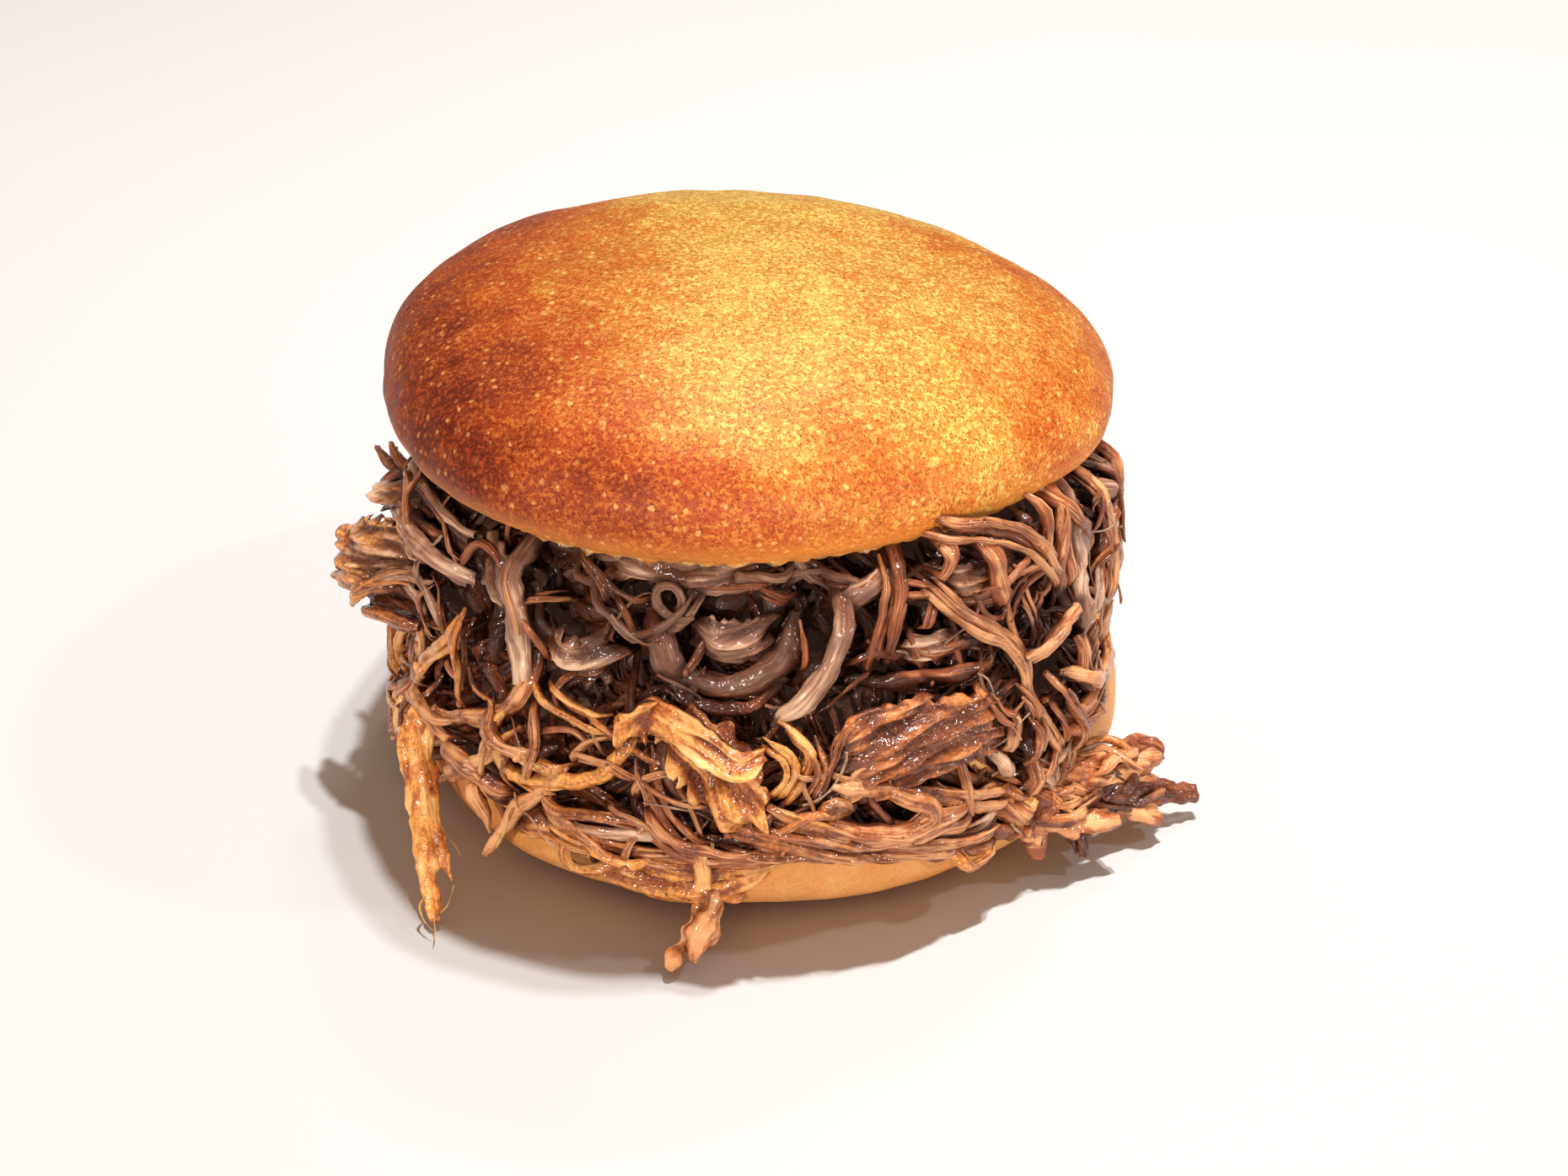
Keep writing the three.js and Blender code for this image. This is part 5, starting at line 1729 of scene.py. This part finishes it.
# Each part of a piece has the line through it, its width, and how many fibres lie side by side in it.
LOOSE = {
    "hanging_strip": dict(
        material=sauced_meat,
        parts=[
            ([(-51.6, -27, 23), (-54.2, -33, 18), (-53.0, -38, 14.6), (-51.3, -45, 10.6), (-49.2, -52, 4.6),
              (-48.1, -56, 1.4)], 2.4, 1),
            ([(-50.5, -27, 23), (-52.8, -33, 18), (-51.6, -38, 14.6), (-50.4, -45, 10.4),
              (-49.0, -51.5, 5.0)], 3.2, 1),
            ([(-49.4, -29, 21), (-51.4, -34, 17), (-50.4, -39, 13.6), (-49.6, -43.5, 10.6),
              (-49.0, -48.0, 7.4)], 3.4, 1),
            ([(-50.0, -36, 15.5), (-49.2, -41, 12), (-48.2, -46, 9.4), (-47.0, -49.6, 6.8),
              (-46.0, -51.6, 5.2)], 2.0, 1),
        ],
        reach=((-56.5, -57.0, 0.3), (-42.0, -28.0, 24.0)),
        skin=dict(lump=0.1, grit_size=0.05, flow=(0.1, -0.7, -0.7), tone=0.3, glaze=0.8),
        blunt=0.4,
        curls=0,
    ),
    "front_shred": dict(
        material=browned_meat,
        parts=[
            ([(-6.8, -55.6, 11), (-8.6, -59.8, 7.6), (-10.6, -62.4, 4.8), (-12.6, -67.5, 2.4)], 4.6, 2),
            ([(-7.6, -57.6, 8.6), (-9.6, -60.8, 5.6), (-11.1, -63.4, 3.6)], 3.2, 1),
        ],
        reach=((-16.0, -70.8, 0.2), (-4.5, -55.0, 12.0)),
        skin=dict(lump=0.34, grit_size=0.1, flow=(-0.5, -0.8, -0.4), tone=0.2, glaze=0.6),
        blunt=0.4,
        curls=3,
    ),
    "right_clump": dict(
        material=browned_meat,
        parts=[
            ([(37, -38.0, 15.5), (41.2, -40.4, 11.4), (45.4, -40.4, 8.8), (51.0, -37.0, 7.0)], 8.6, 3),
            ([(42, -37, 12.5), (48.7, -34.6, 12), (54.6, -31, 10.8), (59.6, -27.6, 9.6), (62.6, -26.0, 9.2)],
             6.4, 2),
            ([(46.5, -37, 9), (55.2, -33.2, 6.8), (60.3, -31.0, 5.2)], 6.4, 2),
            ([(54, -33, 6.4), (62.3, -30.6, 4.8), (67.2, -29.8, 3.9)], 3.8, 1),
            ([(38.4, -40.6, 15), (39.4, -43.2, 11.6), (40, -44.4, 8), (40.3, -45.2, 4.4)], 3.8, 1),
            ([(45.5, -40.6, 8), (47, -42.2, 5.6), (47.6, -42.8, 3.6)], 3.4, 1),
        ],
        reach=((35.0, -47.0, 0.3), (70.0, -22.0, 18.0)),
        skin=dict(lump=0.16, grit_size=0.06, flow=(0.9, 0.25, -0.25), tone=0.42, glaze=0.5,
                  dark_from=(42, 53)),
        blunt=0.8,
        curls=8,
    ),
}
for name, loose in LOOSE.items():
    parts = loose["parts"]
    for controls, width, strands in parts:
        twist = draw.normal(0, 0.05)
        loose_strand(name, width, strands, controls, 0.3, 0.5, rough=0.06, twist=twist,
                     blunt=loose["blunt"])
    for _ in range(loose["curls"]):
        # Short curls lie over the piece, at any angle to it, and make it knobbly.
        controls, width, strands = parts[draw.integers(len(parts))]
        line, run = through(controls, 0.8)
        centre = line[draw.integers(2, max(3, len(line) - 4))] + draw.normal(0, 0.2 * width, 3)
        way = line[-1] - line[0] + draw.normal(0, 0.6 * run[-1], 3)
        way /= np.linalg.norm(way)
        bow = np.cross(way, draw.normal(0, 1, 3))
        bow /= np.linalg.norm(bow)
        half = draw.uniform(1.6, 3.6)
        curl = [
            centre + way * half * t + bow * half * draw.uniform(0.3, 0.7) * (1 - t * t)
            for t in (-1, -0.4, 0.4, 1)
        ]
        loose_strand(name, draw.uniform(1.6, 3.0), 1, curl, 0.3, 0.5, rough=0.15, blunt=0.9)
    mesh = fused("meat_" + name, shreds[name], loose["reach"], **loose["skin"])
    piece("meat_" + name, mesh, [loose["material"]], "pork", name)

# The clump is wrapped in more short strands like those of the heap, most of them round its thick end.
CLUMP_STRANDS = 70
CLUMP_SHARES = (0.40, 0.20, 0.20, 0.04, 0.08, 0.08)
parts = LOOSE["right_clump"]["parts"]
low, high = np.array(LOOSE["right_clump"]["reach"])
for _ in range(CLUMP_STRANDS):
    controls, width, strands = parts[draw.choice(len(parts), p=CLUMP_SHARES)]
    line, run = through(controls, 0.8)
    long = int(draw.integers(6, 15))
    first = int(draw.integers(0, max(1, len(line) - long)))
    line = line[first : first + long]
    along = np.gradient(line, axis=0)
    along /= np.linalg.norm(along, axis=1, keepdims=True)
    side = np.cross(along, (0.0, 0.0, 1.0))
    over = np.cross(side, along)
    t = np.linspace(-1, 1, len(line))
    turn = draw.uniform(-0.6, math.pi + 0.6) + draw.normal(0, 0.8) * t
    off = side * np.cos(turn)[:, None] + over * np.sin(turn)[:, None]
    stand_off = width * draw.uniform(0.36, 0.5) * (1 - 0.4 * t**4) + 0.5 * sway(len(line), 2.5)
    curl = np.clip(line + off * stand_off[:, None], low + 1.0, high - 1.0)
    tone = 0.1 + 0.9 * smooth(curl[:, 0].mean(), 53, 61) + draw.normal(0, 0.18)
    width, strands = draw.uniform(0.9, 2.4), int(draw.integers(1, 3))
    face = off[len(off) // 2]
    loose_strand("clump_strands", width, strands, curl, tone, 0.6, face=face, blunt=0.6, rough=0.25)
clump = sweep("clump_strands", shreds["clump_strands"], browned_meat)
piece("clump_strands", clump, [], "pork", "right_clump")
note_creases([clump], lambda points: points.T)

# Single fibres hang from the strip's thin end.
for controls in (
    [(-48.6, -53.5, 3.6), (-48.2, -56, 2.4), (-47.8, -58, 1.6), (-47.9, -59.6, 1.0)],
    [(-49.2, -53, 4.4), (-50.2, -55, 3.9), (-49.6, -56.6, 2.6), (-48.3, -58, 1.8)],
    [(-45.6, -52.2, 5.2), (-46.2, -54.6, 3.6), (-47.6, -55.8, 2.6)],
    [(-46.4, -47, 9.4), (-45.2, -49, 9.8), (-44.2, -50.6, 9.0)],
):
    loose_strand("strip_hairs", 0.34, 1, controls, 0.1, 0.3, rough=0.3)
strip_hairs = sweep("strip_hairs", shreds["strip_hairs"], sauced_meat, {"Sides": 5})
piece("strip_hairs", strip_hairs, [], "pork", "hanging_strip")
